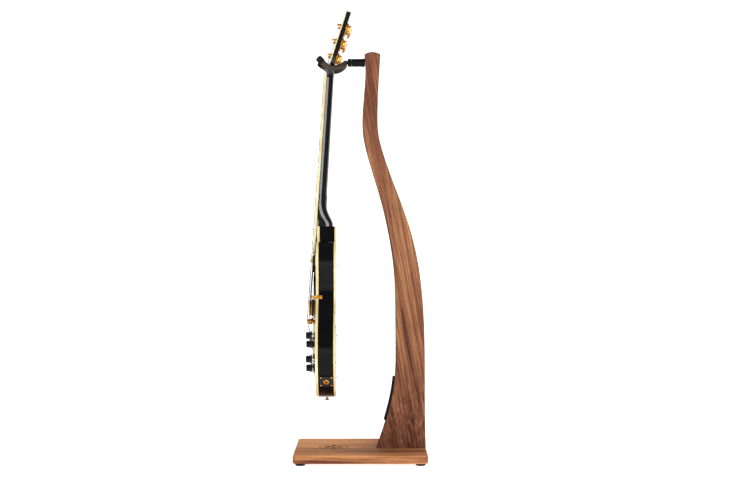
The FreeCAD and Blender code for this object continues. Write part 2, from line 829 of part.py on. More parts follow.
def saddle_point(index):
    return V(spread(bridge_spread, index), bridge_string_y - string_gauges[index] / 2 + 0.6,
             saddle_z(index))


def saddle_z(index):
    return bridge_z - 3.0 + 1.2 * (index % 3) + (1.0 if index > 2 else 0.0)


def tail_point(index):
    return V(spread(bridge_spread, index), tail_string_y, tail_z)


def make_strings():
    strings = []
    for index in range(6):
        radius = string_gauges[index] / 2
        x, z = tuner_places()[string_order.index(index)]
        side = math.copysign(1, x)
        gauge = max(string_gauges[index], 0.4)
        inner = string_post_radius - 0.5 + gauge + radius + 0.15
        post_end = in_frame(V(x - side * inner, -6.4 - gauge, z), head_tilt, head_y, head_z)
        stops = [post_end, nut_point(index), saddle_point(index), tail_point(index)]
        pieces = [rod_between(stops[i], stops[i + 1], radius) for i in range(3)]
        pieces += [Part.makeSphere(radius, stops[i]) for i in (1, 2)]
        pieces.append(rod(tail_point(index) + V(0, 0, 0), V(0, 0.25, -1), radius, 9.0))
        strings.append(join(pieces))
    return group(strings)


def make_bridge():
    """Bridge bar with a slot for the saddles."""
    y_high = bridge_string_y + 12.5
    y_low = bridge_string_y + 2.2
    bar = rounded_box(86, y_high - y_low, 13, 5.5, V(0, (y_low + y_high) / 2, bridge_z), Y_AXIS)
    bar = soften(bar, 1.6, lambda e: abs(e.CenterOfMass.y - y_low) < 0.01)
    slot = box(-29, 29, y_low - 1, y_high - 2.0, bridge_z - 4.5, bridge_z + 4.5)
    bar = bar.cut(slot)
    for x in (-bridge_stud_x, bridge_stud_x):
        bar = bar.cut(rod(V(x, y_high + 1, bridge_z), V(0, -1, 0), 2.0, 8))
    return bar


def make_bridge_saddles():
    y_seat = bridge_string_y + 10.5
    pieces = []
    for index in range(6):
        x = spread(bridge_spread, index)
        z = saddle_z(index)
        top = saddle_point(index).y + string_gauges[index] / 2
        profile = [V(x, y_seat, z - 2.6), V(x, top + 2.6, z - 2.6), V(x, top, z - 0.8),
                   V(x, top, z + 0.8), V(x, top + 2.6, z + 2.6), V(x, y_seat, z + 2.6)]
        face = Part.Face(Part.makePolygon(profile + profile[:1]))
        face.translate(V(-3.4, 0, 0))
        saddle = face.extrude(V(6.8, 0, 0))
        screw_low = bridge_z - 6.5
        saddle = saddle.cut(rod(V(x, y_seat - 4.0, z - 5), Z_AXIS, 1.1, 10))
        screw = rod(V(x, y_seat - 4.0, screw_low + 1.2), Z_AXIS, 1.1, 11)
        pieces.append(saddle)
        pieces.append(screw)
    return group(pieces)


def make_stud_set(surface):
    """Bridge posts with thumbwheels, and tailpiece studs with their bushings."""
    pieces = []
    bridge_under = bridge_string_y + 12.5
    for x in (-bridge_stud_x, bridge_stud_x):
        top = arch_at(surface, x, bridge_z)
        stud = rod(V(x, bridge_under - 6, bridge_z), Y_AXIS, 2.0, 6.5)
        wheel = rod(V(x, bridge_under, bridge_z), Y_AXIS, 7.0, 2.4)
        stem = rod(V(x, bridge_under, bridge_z), Y_AXIS, 3.2, top - bridge_under + 20)
        pieces.append(join([stud, wheel, stem]))
    for x in (-tail_stud_x, tail_stud_x):
        top = arch_at(surface, x, tail_z)
        bushing = rod(V(x, top - 1.2, tail_z), Y_AXIS, 6.2, 1.2)
        bushing = join([bushing, rod(V(x, top, tail_z), Y_AXIS, 5.0, 20)])
        stem = rod(V(x, tail_string_y - 1.5, tail_z), Y_AXIS, 3.4, top - tail_string_y + 12)
        head = rod(V(x, tail_string_y - 4.0, tail_z), Y_AXIS, 5.6, 2.4)
        head = head.cut(box(x - 6, x + 6, tail_string_y - 5, tail_string_y - 3, tail_z - 0.9, tail_z + 0.9))
        pieces.append(join([bushing, stem, head]))
    return group(pieces)


def make_tailpiece(studs, strings):
    """Rounded stop bar, slotted at both ends for its studs, drilled for the strings."""
    y = tail_string_y + 3.4
    bar = rounded_box(2 * tail_stud_x + 10, 10.0, 15.0, 4.2, V(0, y, tail_z - 2.0), X_AXIS)
    ends = []
    for x in (-tail_stud_x, tail_stud_x):
        ends.append(rod(V(x, y - 10, tail_z), Y_AXIS, 3.6, 20))
        side = math.copysign(1, x)
        mouth = box(min(x, x + side * 12), max(x, x + side * 12), y - 10, y + 10, tail_z - 3.6, tail_z + 3.6)
        ends.append(mouth)
    for index in range(6):
        start = tail_point(index) + V(0, -0.9, 3.5)
        ends.append(rod(start, V(0, 0.25, -1), 1.6, 18.0))
    return bar.cut(group(ends)).cut(studs).cut(strings)


# ---- pickups ----
def pickup_ring(surface, z_centre, front_y):
    """Mounting ring whose underside follows the carved top."""
    outer = rounded_box(92, 12, 44, 4.0, V(0, front_y + 6, z_centre), Y_AXIS)
    window = rounded_box(71, 40, 38.8, 3.5, V(0, front_y, z_centre), Y_AXIS)
    ring = outer.cut(window)
    ring = ring.cut(surface.extrude(V(0, 60, 0)))
    solids = sorted(ring.Solids, key=lambda s: s.Volume)
    ring = solids[-1]
    for place in ring_screw_places(z_centre, front_y):
        ring = ring.cut(rod(place - Y_AXIS, Y_AXIS, 1.4, 14))
    return ring


def ring_screw_places(z_centre, front_y):
    return [V(x, front_y, z_centre + z) for x in (-40.5, 40.5) for z in (-17.5, 17.5)]


def pickup_cover(z_centre, top_y):
    shell = rounded_box(69.6, 17, 37.6, 3.2, V(0, top_y + 8.5, z_centre), Y_AXIS)
    shell = soften(shell, 1.4, lambda e: abs(e.CenterOfMass.y - top_y) < 0.01)
    hollow = rounded_box(68.2, 17, 36.2, 2.6, V(0, top_y + 9.2, z_centre), Y_AXIS)
    return shell.cut(hollow)


def pickup_inside(z_centre, top_y):
    """Baseplate with two coil bobbins."""
    plate = box(-34, 34, top_y + 15.2, top_y + 17, z_centre - 18, z_centre + 18)
    legs = box(-39.5, 39.5, top_y + 17, top_y + 18.4, z_centre - 6, z_centre + 6)
    coils = [rounded_box(66, 14, 16.6, 8.0, V(0, top_y + 8.2, z_centre + z), Y_AXIS) for z in (-8.9, 8.9)]
    return join([plate, legs] + coils)


def pole_places(z_centre, top_y):
    return [V(spread(49.5, i), top_y, z_centre - 9.0) for i in range(6)]


def make_pickup_screws(rings):
    pieces = []
    for z_centre, ring_y, top_y in rings:
        for place in ring_screw_places(z_centre, ring_y):
            pieces.append(small_screw(place, V(0, -1, 0), 2.2, 1.3, 12.0))
        for place in pole_places(z_centre, top_y):
            pieces.append(join([rod(place - Y_AXIS * 0.7, Y_AXIS, 2.3, 0.7), rod(place, Y_AXIS, 1.3, 14.0)]))
    return group(pieces)


# ---- controls, jack and trim ----
def knob_base(surface, place):
    """Level of a knob's underside, just clear of the highest part of the cap below its skirt."""
    levels = []
    for step in range(16):
        angle = math.pi * step / 8
        x = place[0] + knob_skirt * math.cos(angle)
        z = place[1] + knob_skirt * math.sin(angle)
        levels.append(arch_at(surface, x, z))
    return min(levels) - 0.5


def make_knob(surface, place):
    """Hat-shaped knob with a flared skirt, and the potentiometer's shaft inside it."""
    x, z = place
    y = knob_base(surface, place)
    profile = [V(0, 0, 0), V(knob_skirt, 0, 0), V(knob_skirt, 0, 1.6)]
    skirt_end = V(9.2, 0, 7.0)
    shoulder_end = V(8.4, 0, knob_height - 1.0)
    crown = [shoulder_end, V(7.4, 0, knob_height), V(0, 0, knob_height)]
    edges = [line(profile[0], profile[1]), line(profile[1], profile[2]),
             Part.Arc(profile[2], V(10.2, 0, 3.3), skirt_end).toShape(),
             line(skirt_end, crown[0]), line(crown[0], crown[1]), line(crown[1], crown[2]),
             line(crown[2], profile[0])]
    face = Part.Face(Part.Wire(edges))
    knob = face.revolve(V(0, 0, 0), Z_AXIS, 360)
    knob = knob.cut(rod(V(0, 0, -1), Z_AXIS, 6.6, 5.0))
    knob = knob.cut(rod(V(0, 0, 3), Z_AXIS, 3.0, 9.0))
    shaft = rod(V(0, 0, -16.0), Z_AXIS, 3.0, 28.0)
    for shape in (knob, shaft):
        shape.rotate(V(0, 0, 0), X_AXIS, 90)
        shape.translate(V(x, y, z))
    return group([knob, shaft])


def make_potentiometers(surface):
    pieces = []
    for place in knob_places:
        x, z = place
        top = knob_base(surface, place) + 0.8
        inner = body_front + 9.0
        bush = rod(V(x, top - 2.6, z), Y_AXIS, 4.6, inner - top + 2.6)
        washer = rod(V(x, top - 0.5, z), Y_AXIS, 6.0, 0.9)
        can = rod(V(x, inner, z), Y_AXIS, 12.0, 9.0)
        lugs = box(x - 6, x + 6, inner, inner + 1.4, z - 16.5, z - 9)
        pot = join([bush, washer, can, lugs])
        pot = pot.cut(rod(V(x, top - 8, z), Y_AXIS, 3.0 + running_gap, 30.5))
        pieces.append(pot)
    return group(pieces)


def make_toggle_switch(surface):
    """Threaded bush and nut above the washer, and the leaf frame in its cavity."""
    top = arch_at(surface, toggle_x, toggle_z)
    inner = body_front + 9.0
    bush = rod(V(toggle_x, top - 4.8, toggle_z), Y_AXIS, 5.8, inner - top + 4.8)
    nut = rod(V(toggle_x, top - 4.2, toggle_z), Y_AXIS, 7.6, 2.4)
    frame = box(toggle_x - 8, toggle_x + 8, inner, inner + 26, toggle_z - 12, toggle_z + 12)
    hollow = box(toggle_x - 5, toggle_x + 5, inner + 2, inner + 24, toggle_z - 13, toggle_z + 13)
    bore = Part.makeCone(4.6, 3.0, 12.0, V(toggle_x, top - 6, toggle_z), Y_AXIS)
    tunnel = rod(V(toggle_x, top - 8, toggle_z), Y_AXIS, 3.4, 30)
    switch = join([bush, nut, frame.cut(hollow)]).cut(bore).cut(tunnel)
    switch = switch.cut(pivot_pin(surface, running_gap))
    washer = rod(V(toggle_x, top - 1.8, toggle_z), Y_AXIS, 17.5, 3.4)
    washer = washer.cut(rod(V(toggle_x, top - 9, toggle_z), Y_AXIS, 5.9, 20))
    washer = washer.cut(surface.extrude(V(0, 60, 0)))
    washer = washer.Solids[0]
    return group([switch, washer])


def toggle_pivot(surface):
    return V(toggle_x, arch_at(surface, toggle_x, toggle_z) + 2.0, toggle_z)


def pivot_pin(surface, gap):
    """Cross pin that the lever rocks on, or its seat with that gap round it."""
    half = 5.0 + gap
    return rod(toggle_pivot(surface) - V(half, 0, 0), X_AXIS, 1.1 + gap, 2 * half)


def make_toggle_lever(surface):
    pivot = toggle_pivot(surface)
    stem = rod(pivot + V(0, 4, 0), V(0, -1, 0), 1.6, 16)
    stem = join([stem, pivot_pin(surface, 0)])
    tip = Part.makeCone(2.4, 4.0, 9.0, V(0, 0, 10), Z_AXIS)
    tip = join([tip, Part.makeSphere(4.0, V(0, 0, 19.0))])
    tip.rotate(V(0, 0, 0), X_AXIS, 90)
    tip.translate(pivot)
    return group([stem.cut(tip), tip])


def rim_place(height):
    """Point and outward direction on the treble rim at a height, on the widest lower bout."""
    treble = outline_edges()[0].copy()
    treble.translate(V(0, 0, body_bottom))
    low = treble.FirstParameter
    high = low + (treble.LastParameter - low) * 0.25
    for _ in range(50):
        middle = (low + high) / 2
        if treble.valueAt(middle).z < height:
            low = middle
        else:
            high = middle
    point = treble.valueAt(low)
    along = treble.tangentAt(low)
    outward = V(along.z, 0, -along.x)
    if outward.x < 0:
        outward = outward * -1
    return V(point.x, (body_front + body_back) / 2 + 2.0, point.z), outward


def place_on_rim(shape, point, outward):
    """Moves a shape built with +Z outward and +Y kept, to a point on the rim."""
    angle = math.degrees(math.atan2(outward.x, outward.z))
    shape = shape.copy()
    shape.rotate(V(0, 0, 0), Y_AXIS, angle)
    return shape.translate(point)


def jack_screw_offsets():
    return [(x, y) for x in (-13.2, 13.2) for y in (-13.2, 13.2)]


def make_jack_plate(body_solid, point, outward):
    plate = rounded_box(34, 34, 5.4, 3.0, V(0, 0, -0.7), Z_AXIS)
    plate = plate.cut(rod(V(0, 0, -10), Z_AXIS, 4.8, 20))
    for x, y in jack_screw_offsets():
        plate = plate.cut(rod(V(x, y, -10), Z_AXIS, 1.4, 20))
    plate = place_on_rim(plate, point, outward).cut(body_solid)
    solids = sorted(plate.Solids, key=lambda s: s.Volume)
    return solids[-1]


def make_jack_socket(point, outward):
    barrel = rod(V(0, 0, -20), Z_AXIS, 4.7, 24.5)
    hexagon = [V(7.6 * math.cos(math.radians(a)), 7.6 * math.sin(math.radians(a)), 2.0)
               for a in range(0, 360, 60)]
    nut = Part.Face(Part.makePolygon(hexagon + hexagon[:1])).extrude(V(0, 0, 2.2))
    nut = nut.common(Part.makeCone(8.6, 6.2, 2.4, V(0, 0, 2.0), Z_AXIS))
    frame = rod(V(0, 0, -28), Z_AXIS, 8.5, 8)
    socket = join([barrel, nut, frame])
    socket = socket.cut(rod(V(0, 0, -26), Z_AXIS, jack_bore, 40))
    return place_on_rim(socket, point, outward)


def make_pickguard():
    """Raised plate beside the strings, parallel to them."""
    corners = [V(47, 3.6, -490), V(64, 3.6, -484), V(84, 3.6, -512), V(90, 3.6, -552),
               V(77, 3.6, -596), V(47, 3.6, -618), V(47, 3.6, -570.5), V(37.5, 3.6, -570.5),
               V(37.5, 3.6, -506), V(47, 3.6, -506)]
    plate = Part.Face(Part.makePolygon(corners + corners[:1])).extrude(V(0, 2.2, 0))
    return neck_frame(plate)


def make_pickguard_bracket():
    """Bent strip from the pickguard's underside to a screw in the treble rim."""
    z = bracket_z
    level = line(V(60, 0, z - body_bottom), V(200, 0, z - body_bottom))
    edge = outline_edges()[0].distToShape(level)[1][0][0].x
    under = -124.5
    bends = [V(72, under, z), V(86, under, z), V(edge + 0.8, -114.0, z), V(edge + 0.8, -96.5, z)]
    strips = [strip_between(bends[i], bends[i + 1], 1.2, 8.0) for i in range(3)]
    elbows = [rod(bend - V(0, 0, 4), Z_AXIS, 0.6, 8.0) for bend in bends[1:3]]
    bracket = join(strips + elbows)
    hole = rod(V(edge - 5, -101, z), X_AXIS, 1.5, 12)
    rim_screw = small_screw(V(edge + 1.4, -101, z), X_AXIS, 3.2, 1.5, 12.0)
    return bracket.cut(hole), rim_screw


def make_strap_button(place, outward, body_solid):
    profile = [V(0, 0, 0), V(6.2, 0, 0), V(5.6, 0, 1.6), V(3.2, 0, 3.4), V(3.4, 0, 5.4),
               V(7.0, 0, 7.4), V(6.6, 0, 9.0), V(0, 0, 9.6)]
    edges = [line(profile[0], profile[1]), line(profile[1], profile[2]),
             spline(profile[2:6]), line(profile[5], profile[6]), line(profile[6], profile[7]),
             line(profile[7], profile[0])]
    button = Part.Face(Part.Wire(edges)).revolve(V(0, 0, 0), Z_AXIS, 360)
    screw = rod(V(0, 0, -18), Z_AXIS, 2.2, 20)
    for shape in (button, screw):
        if outward.z < 0:
            shape.rotate(V(0, 0, 0), X_AXIS, 180)
        shape.translate(place)
    return join([button.cut(body_solid), screw])


# ---- putting it together ----
def build_stand(parts):
    parts["base_board"] = make_base_board()
    post = make_post()
    parts["base_fasteners"] = make_base_fasteners()
    parts["foot_pads"] = make_foot_pads().cut(parts["base_fasteners"])
    parts["threaded_inserts"] = make_threaded_inserts()
    parts["back_rest_pad"] = make_back_rest_pad(post)
    parts["hanger_rod"] = make_hanger_rod()
    sleeve = make_hanger_sleeve()
    flange_seat = rod(V(0, 4.0, pivot_z), Y_AXIS, shaft_radius + 0.7, 4.9)
    parts["post"] = post.cut(flange_seat)
    parts["hanger_sleeve"] = sleeve


def build_yoke(parts):
    frame = make_yoke_frame()
    covers = make_arm_covers(frame)
    caps = make_arm_end_caps()
    parts["yoke_frame"] = frame
    parts["arm_end_caps"] = caps.cut(frame)
    parts["arm_covers"] = covers


def build_neck(parts):
    neck = make_neck_blank()
    parts["nut"] = make_nut()
    rod_set = make_truss_rod()
    parts["truss_rod"] = rod_set
    parts["truss_rod_cover"] = make_truss_rod_cover()
    parts["headstock_veneer"] = make_headstock_veneer().cut(rod_set).cut(parts["nut"])
    head_ring = head_binding_ring()
    bushings = make_tuner_bushings()
    parts["tuner_bushings"] = bushings
    parts["tuner_housings"] = make_tuner_housings()
    drilled = [head_frame(rod(V(x, -1, z), Y_AXIS, 4.5, 40)) for x, z in tuner_places()]
    neck = neck.cut(group([rod_set, head_ring] + drilled))
    neck = neck.cut(head_frame(slab_from(head_face(head_binding), -1, veneer)))
    neck = neck.cut(parts["tuner_housings"])
    neck = sorted(neck.Solids, key=lambda s: s.Volume)[-1]
    parts["neck"] = neck
    board = board_blank(board_binding, -2, board_thickness).common(crown_cylinder(0))
    edging = board_blank(0, -2, board_thickness).common(crown_cylinder(0)).cut(board)
    inlays = make_inlay_blanks()
    board = board.cut(group(inlays))
    parts["fretboard"] = neck_frame(board)
    strips = [neck_frame(solid) for solid in edging.Solids]
    ring = head_ring.cut(parts["nut"])
    parts["neck_bindings"] = group(strips + ring.Solids)
    parts["fret_inlays"] = group([neck_frame(inlay) for inlay in inlays])
    parts["frets"] = make_frets()
    return neck


def build_body(parts, neck):
    face = body_face()
    inner_face = body_face(binding_width)
    surface = arch_surface(face)
    joint = body_front + cap_rim
    full = slab_from(face, joint, body_back)
    cap = slab_from(inner_face, body_front - 30, joint)
    cap = cap.common(surface.extrude(V(0, 60, 0))).cut(neck_plane_cutter())
    top_ring = slab_from(face, body_front, joint).cut(slab_from(inner_face, body_front - 1, joint + 1))
    back_low = body_back - back_binding_height
    back_ring = slab_from(face, back_low, body_back).cut(slab_from(inner_face, back_low - 1, body_back + 1))
    back = full.cut(back_ring)
    board_block = group([parts["fretboard"], parts["neck_bindings"]])
    pockets = [pickup_pocket(neck_pickup_z), pickup_pocket(bridge_pickup_z)]
    cap = cap.cut(group([neck] + pockets))
    inner_wall = body_front + 9.0
    cavities = [control_cavity(inner_wall, body_back + 1, 0), switch_cavity(inner_wall, body_back + 1, 0),
                control_cavity(body_back - 2.0, body_back + 1, 6.0),
                switch_cavity(body_back - 2.0, body_back + 1, 5.0)]
    back = back.cut(group([neck] + pockets)).cut(group(cavities))
    top_ring = top_ring.cut(neck).cut(board_block)
    return face, surface, cap, back, top_ring, back_ring


def build_hardware(parts, surface):
    studs = make_stud_set(surface)
    strings = make_strings()
    parts["strings"] = strings
    parts["bridge_and_tail_studs"] = studs
    parts["bridge_saddles"] = make_bridge_saddles().cut(strings)
    parts["bridge"] = make_bridge().cut(studs).cut(parts["bridge_saddles"])
    parts["tailpiece"] = make_tailpiece(studs, strings)
    parts["nut"] = parts["nut"].cut(strings)
    rings = ((neck_pickup_z, -122.4, -124.4), (bridge_pickup_z, -125.2, -132.2))
    parts["pickup_rings"] = group([pickup_ring(surface, z, ring_y) for z, ring_y, _ in rings])
    screws = make_pickup_screws(rings)
    covers = [pickup_cover(z, top_y) for z, _, top_y in rings]
    parts["pickup_covers"] = group(covers).cut(screws)
    coils = group([pickup_inside(z, top_y) for z, _, top_y in rings])
    parts["pickup_coils"] = coils.cut(screws).cut(parts["pickup_covers"])
    parts["pickup_screws"] = screws
    parts["potentiometers"] = make_potentiometers(surface)
    parts["toggle_switch"] = make_toggle_switch(surface)
    parts["toggle_lever"] = make_toggle_lever(surface)
    names = ("neck_volume_knob", "bridge_volume_knob", "neck_tone_knob", "bridge_tone_knob")
    for name, place in zip(names, knob_places):
        parts[name] = make_knob(surface, place)
    for index in range(6):
        parts["tuner_key_%d" % (index + 1)] = make_tuner_key(index)
        parts["string_post_%d" % (index + 1)] = make_string_post(index)


def build_guitar(parts):
    neck = build_neck(parts)
    face, surface, cap, back, top_ring, back_ring = build_body(parts, neck)
    build_hardware(parts, surface)
    whole = slab_from(face, body_front, body_back)
    point, outward = rim_place(jack_height)
    plate = make_jack_plate(whole, point, outward)
    socket = make_jack_socket(point, outward)
    jack_hole = place_on_rim(rod(V(0, 0, -75), Z_AXIS, 9.5, 80), point, outward)
    parts["jack_plate"] = plate
    parts["jack_socket"] = socket.cut(plate)
    screws = []
    for x, y in jack_screw_offsets():
        screw = small_screw(V(x, y, 2.0), Z_AXIS, 2.1, 1.4, 12.0)
        screws.append(place_on_rim(screw, point, outward))
    for place in cover_screw_places():
        screws.append(small_screw(place, Y_AXIS, 2.4, 1.5, 12.0))
    parts["pickguard"] = make_pickguard()
    bracket, rim_screw = make_pickguard_bracket()
    parts["pickguard_bracket"] = bracket.cut(group([cap, back, top_ring, parts["pickguard"]]))
    screws.append(rim_screw)
    parts["body_screws"] = group(screws)
    parts["cavity_covers"] = make_cavity_covers()
    middle = (body_front + body_back) / 2
    buttons = [make_strap_button(V(0, middle, body_bottom), V(0, 0, -1), whole),
               make_strap_button(V(-58, middle, body_bottom + shoulder), V(0, 0, 1), whole)]
    parts["strap_buttons"] = group(buttons)
    fitted = ("bridge_and_tail_studs", "body_screws", "strap_buttons", "pickup_screws",
              "potentiometers", "toggle_switch")
    drills = group([parts[name] for name in fitted])
    toggle_bore = rod(V(toggle_x, -140, toggle_z), Y_AXIS, 5.9, 60)
    cap = cap.cut(drills).cut(toggle_bore)
    legs = [box(-41, 41, -116, -100, z - 7.5, z + 7.5) for z in (neck_pickup_z, bridge_pickup_z)]
    cap = cap.cut(group(legs))
    back = back.cut(drills).cut(jack_hole).cut(group(legs))
    shapes = {"body_top": cap, "body_back": back}
    for name, shape in shapes.items():
        parts[name] = sorted(shape.Solids, key=lambda s: s.Volume)[-1]
    rings = top_ring.cut(parts["body_screws"]).cut(jack_hole)
    rings_back = back_ring.cut(jack_hole)
    parts["body_bindings"] = group(rings.Solids + rings_back.Solids)


def main():
    os.makedirs("parts", exist_ok=True)
    parts = {}
    build_stand(parts)
    build_yoke(parts)
    build_guitar(parts)
    for name, shape in sorted(parts.items()):
        shape.exportStep("parts/%s.step" % name)
        state = "ok" if shape.isValid() else "INVALID"
        print("%-24s %3d solids %12.0f mm3 %s" % (name, len(shape.Solids), shape.Volume, state))
    print(len(parts), "nodes")


main()
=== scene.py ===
"""Looks for the guitar hanging on its walnut stand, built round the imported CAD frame."""

import json
import math

import bmesh
import bpy
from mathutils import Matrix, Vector


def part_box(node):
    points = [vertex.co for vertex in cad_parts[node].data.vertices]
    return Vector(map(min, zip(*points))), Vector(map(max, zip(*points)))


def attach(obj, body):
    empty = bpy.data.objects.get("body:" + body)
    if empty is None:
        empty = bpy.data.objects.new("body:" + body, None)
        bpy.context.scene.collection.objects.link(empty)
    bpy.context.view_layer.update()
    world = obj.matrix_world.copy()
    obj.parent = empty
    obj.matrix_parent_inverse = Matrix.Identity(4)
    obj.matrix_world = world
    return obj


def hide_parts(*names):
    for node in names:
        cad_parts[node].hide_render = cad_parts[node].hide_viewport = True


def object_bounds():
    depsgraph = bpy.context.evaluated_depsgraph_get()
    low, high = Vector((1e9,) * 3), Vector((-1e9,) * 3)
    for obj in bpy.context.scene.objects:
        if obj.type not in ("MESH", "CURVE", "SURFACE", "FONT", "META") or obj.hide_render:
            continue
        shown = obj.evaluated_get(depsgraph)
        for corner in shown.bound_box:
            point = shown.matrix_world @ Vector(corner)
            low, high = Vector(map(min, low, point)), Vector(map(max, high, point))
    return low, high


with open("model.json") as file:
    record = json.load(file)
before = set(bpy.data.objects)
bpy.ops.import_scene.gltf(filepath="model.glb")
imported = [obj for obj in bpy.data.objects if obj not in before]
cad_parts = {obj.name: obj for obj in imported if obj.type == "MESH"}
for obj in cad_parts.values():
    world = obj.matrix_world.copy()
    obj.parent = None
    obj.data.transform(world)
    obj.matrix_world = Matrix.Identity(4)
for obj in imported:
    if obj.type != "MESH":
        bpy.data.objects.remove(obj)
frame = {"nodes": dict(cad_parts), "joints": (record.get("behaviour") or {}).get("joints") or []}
CAD_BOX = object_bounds()
NODES = frame["nodes"]
JOINTS = {joint["name"]: joint for joint in frame["joints"]}
MM = 0.001
X_AXIS = Vector((1, 0, 0))
STRING_COUNT = 6

# Camera and studio, in metres unless the name says otherwise
CAMERA_DISTANCE = 3.45
CAMERA_SIDE = 0.012
CAMERA_DROP = -0.0274
AIM_SIDE = 0.019
LENS_MM = 65.2
SENSOR_MM = 36.0
CLIP_NEAR = 0.1
CLIP_FAR = 200.0
FLOOR_HALF = 30.0
FLOOR_STEPS = 12
FLOOR_GLOW = 0.80
SKY_STRENGTH = 1.5
SKY_DIM = 0.36
SKY_EDGE = (-0.70, -0.30)
# name, place, size, power in watts
SOFT_BOXES = (
    ("panel_right", (3.0, 0.95, 1.0), (1.5, 1.4), 63.0),
    ("box_left", (1.9, -3.0, 1.6), (1.8, 1.8), 14.0),
)


# ---------------------------------------------------------------- node trees
UNTURNED = (0, 0, 0)
UNMOVED = (0, 0, 0)
IN_METRES = (1, 1, 1)
NOISE_SPAN = (0.3, 0.7)
RANGE_SOCKETS = ("From Min", "From Max", "To Min", "To Max")
# A mix node's factor and colour inputs, and its colour result
MIX_INPUTS = (0, 6, 7)
MIX_RESULT = 2


def triple(number):
    """The number three times over: a grey, or one size along every axis."""
    return (number,) * 3


def set_range(node, numbers, kind):
    """Sets a range node's four limits and how it moves between them."""
    node.interpolation_type = kind
    for socket, number in zip(RANGE_SOCKETS, numbers):
        node.inputs[socket].default_value = number


class Shading:
    """One node material: its tree, its principled shader and the nodes that feed it."""

    def __init__(self, name, **sockets):
        self.material = bpy.data.materials.new(name)
        self.material.use_nodes = True
        self.tree = self.material.node_tree
        self.tree.nodes.clear()
        self.shader = self.node("ShaderNodeBsdfPrincipled")
        output = self.node("ShaderNodeOutputMaterial")
        self.link(self.shader.outputs["BSDF"], output.inputs["Surface"])
        for socket, value in sockets.items():
            self.shader.inputs[socket.replace("_", " ")].default_value = value

    def node(self, kind):
        """A new node of that kind."""
        return self.tree.nodes.new(kind)

    def link(self, source, target):
        """Joins an output to an input."""
        self.tree.links.new(source, target)

    def feed(self, socket, source):
        """Joins an output to the shader's named input."""
        self.link(source, self.shader.inputs[socket])

    def grain_space(self, feature, turn=UNTURNED, shift=UNMOVED):
        """Object coordinates, turned and divided by the feature size in metres along each axis."""
        coordinates = self.node("ShaderNodeTexCoord")
        mapping = self.node("ShaderNodeMapping")
        mapping.vector_type = "TEXTURE"
        mapping.inputs["Location"].default_value = shift
        mapping.inputs["Rotation"].default_value = turn
        mapping.inputs["Scale"].default_value = feature
        self.link(coordinates.outputs["Object"], mapping.inputs["Vector"])
        return mapping.outputs["Vector"]

    def noise(self, vector, detail=3.0, roughness=0.55, distortion=0.0):
        """Cloudy noise with features about one unit of the vector across."""
        node = self.node("ShaderNodeTexNoise")
        node.inputs["Scale"].default_value = 1.0
        node.inputs["Detail"].default_value = detail
        node.inputs["Roughness"].default_value = roughness
        node.inputs["Distortion"].default_value = distortion
        self.link(vector, node.inputs["Vector"])
        return node.outputs[0]

    def axis(self, vector, name):
        """The vector's length along X, Y or Z."""
        node = self.node("ShaderNodeSeparateXYZ")
        self.link(vector, node.inputs["Vector"])
        return node.outputs[name]

    def maths(self, operation, first, second):
        """The two values, or numbers, put through one operation."""
        node = self.node("ShaderNodeMath")
        node.operation = operation
        for socket, value in zip(node.inputs, (first, second)):
            if isinstance(value, (int, float)):
                socket.default_value = value
            else:
                self.link(value, socket)
        return node.outputs["Value"]

    def carry(self, value, numbers, kind):
        """The value, carried from one range to another."""
        node = self.node("ShaderNodeMapRange")
        set_range(node, numbers, kind)
        self.link(value, node.inputs["Value"])
        return node.outputs["Result"]

    def spread(self, value, low, high, start, end):
        """The value's range low to high, carried smoothly to start and end."""
        return self.carry(value, (low, high, start, end), "SMOOTHSTEP")

    def even(self, value, low, high, start, end):
        """The value's range low to high, carried evenly to start and end."""
        return self.carry(value, (low, high, start, end), "LINEAR")

    def length(self, vector):
        """How long the vector is."""
        node = self.node("ShaderNodeVectorMath")
        node.operation = "LENGTH"
        self.link(vector, node.inputs[0])
        return node.outputs["Value"]

    def ramp(self, value, stops):
        """A colour for each (position, colour) stop."""
        node = self.node("ShaderNodeValToRGB")
        elements = node.color_ramp.elements
        while len(elements) < len(stops):
            elements.new(1.0)
        for element, (position, colour) in zip(elements, stops):
            element.position = position
            element.color = (*colour, 1.0)
        self.link(value, node.inputs["Fac"])
        return node.outputs["Color"]

    def two_tone(self, value, first, second, ends=NOISE_SPAN):
        """The first colour, turning into the second as the value crosses the ends."""
        return self.ramp(value, tuple(zip(ends, (first, second))))

    def blend(self, factor, first, second, kind="MIX"):
        """The first colour, mixed by the factor with the second."""
        node = self.node("ShaderNodeMix")
        node.data_type = "RGBA"
        node.blend_type = kind
        for index, value in zip(MIX_INPUTS, (factor, first, second)):
            socket = node.inputs[index]
            if isinstance(value, (int, float)):
                socket.default_value = value
            elif isinstance(value, tuple):
                socket.default_value = (*value, 1.0)
            else:
                self.link(value, socket)
        return node.outputs[MIX_RESULT]

    def bump(self, height, depth, strength=1.0, base=None):
        """Bumps of that depth in metres, laid over an earlier bump."""
        node = self.node("ShaderNodeBump")
        node.inputs["Strength"].default_value = strength
        node.inputs["Distance"].default_value = depth
        self.link(height, node.inputs["Height"])
        if base is not None:
            self.link(base, node.inputs["Normal"])
        return node.outputs["Normal"]


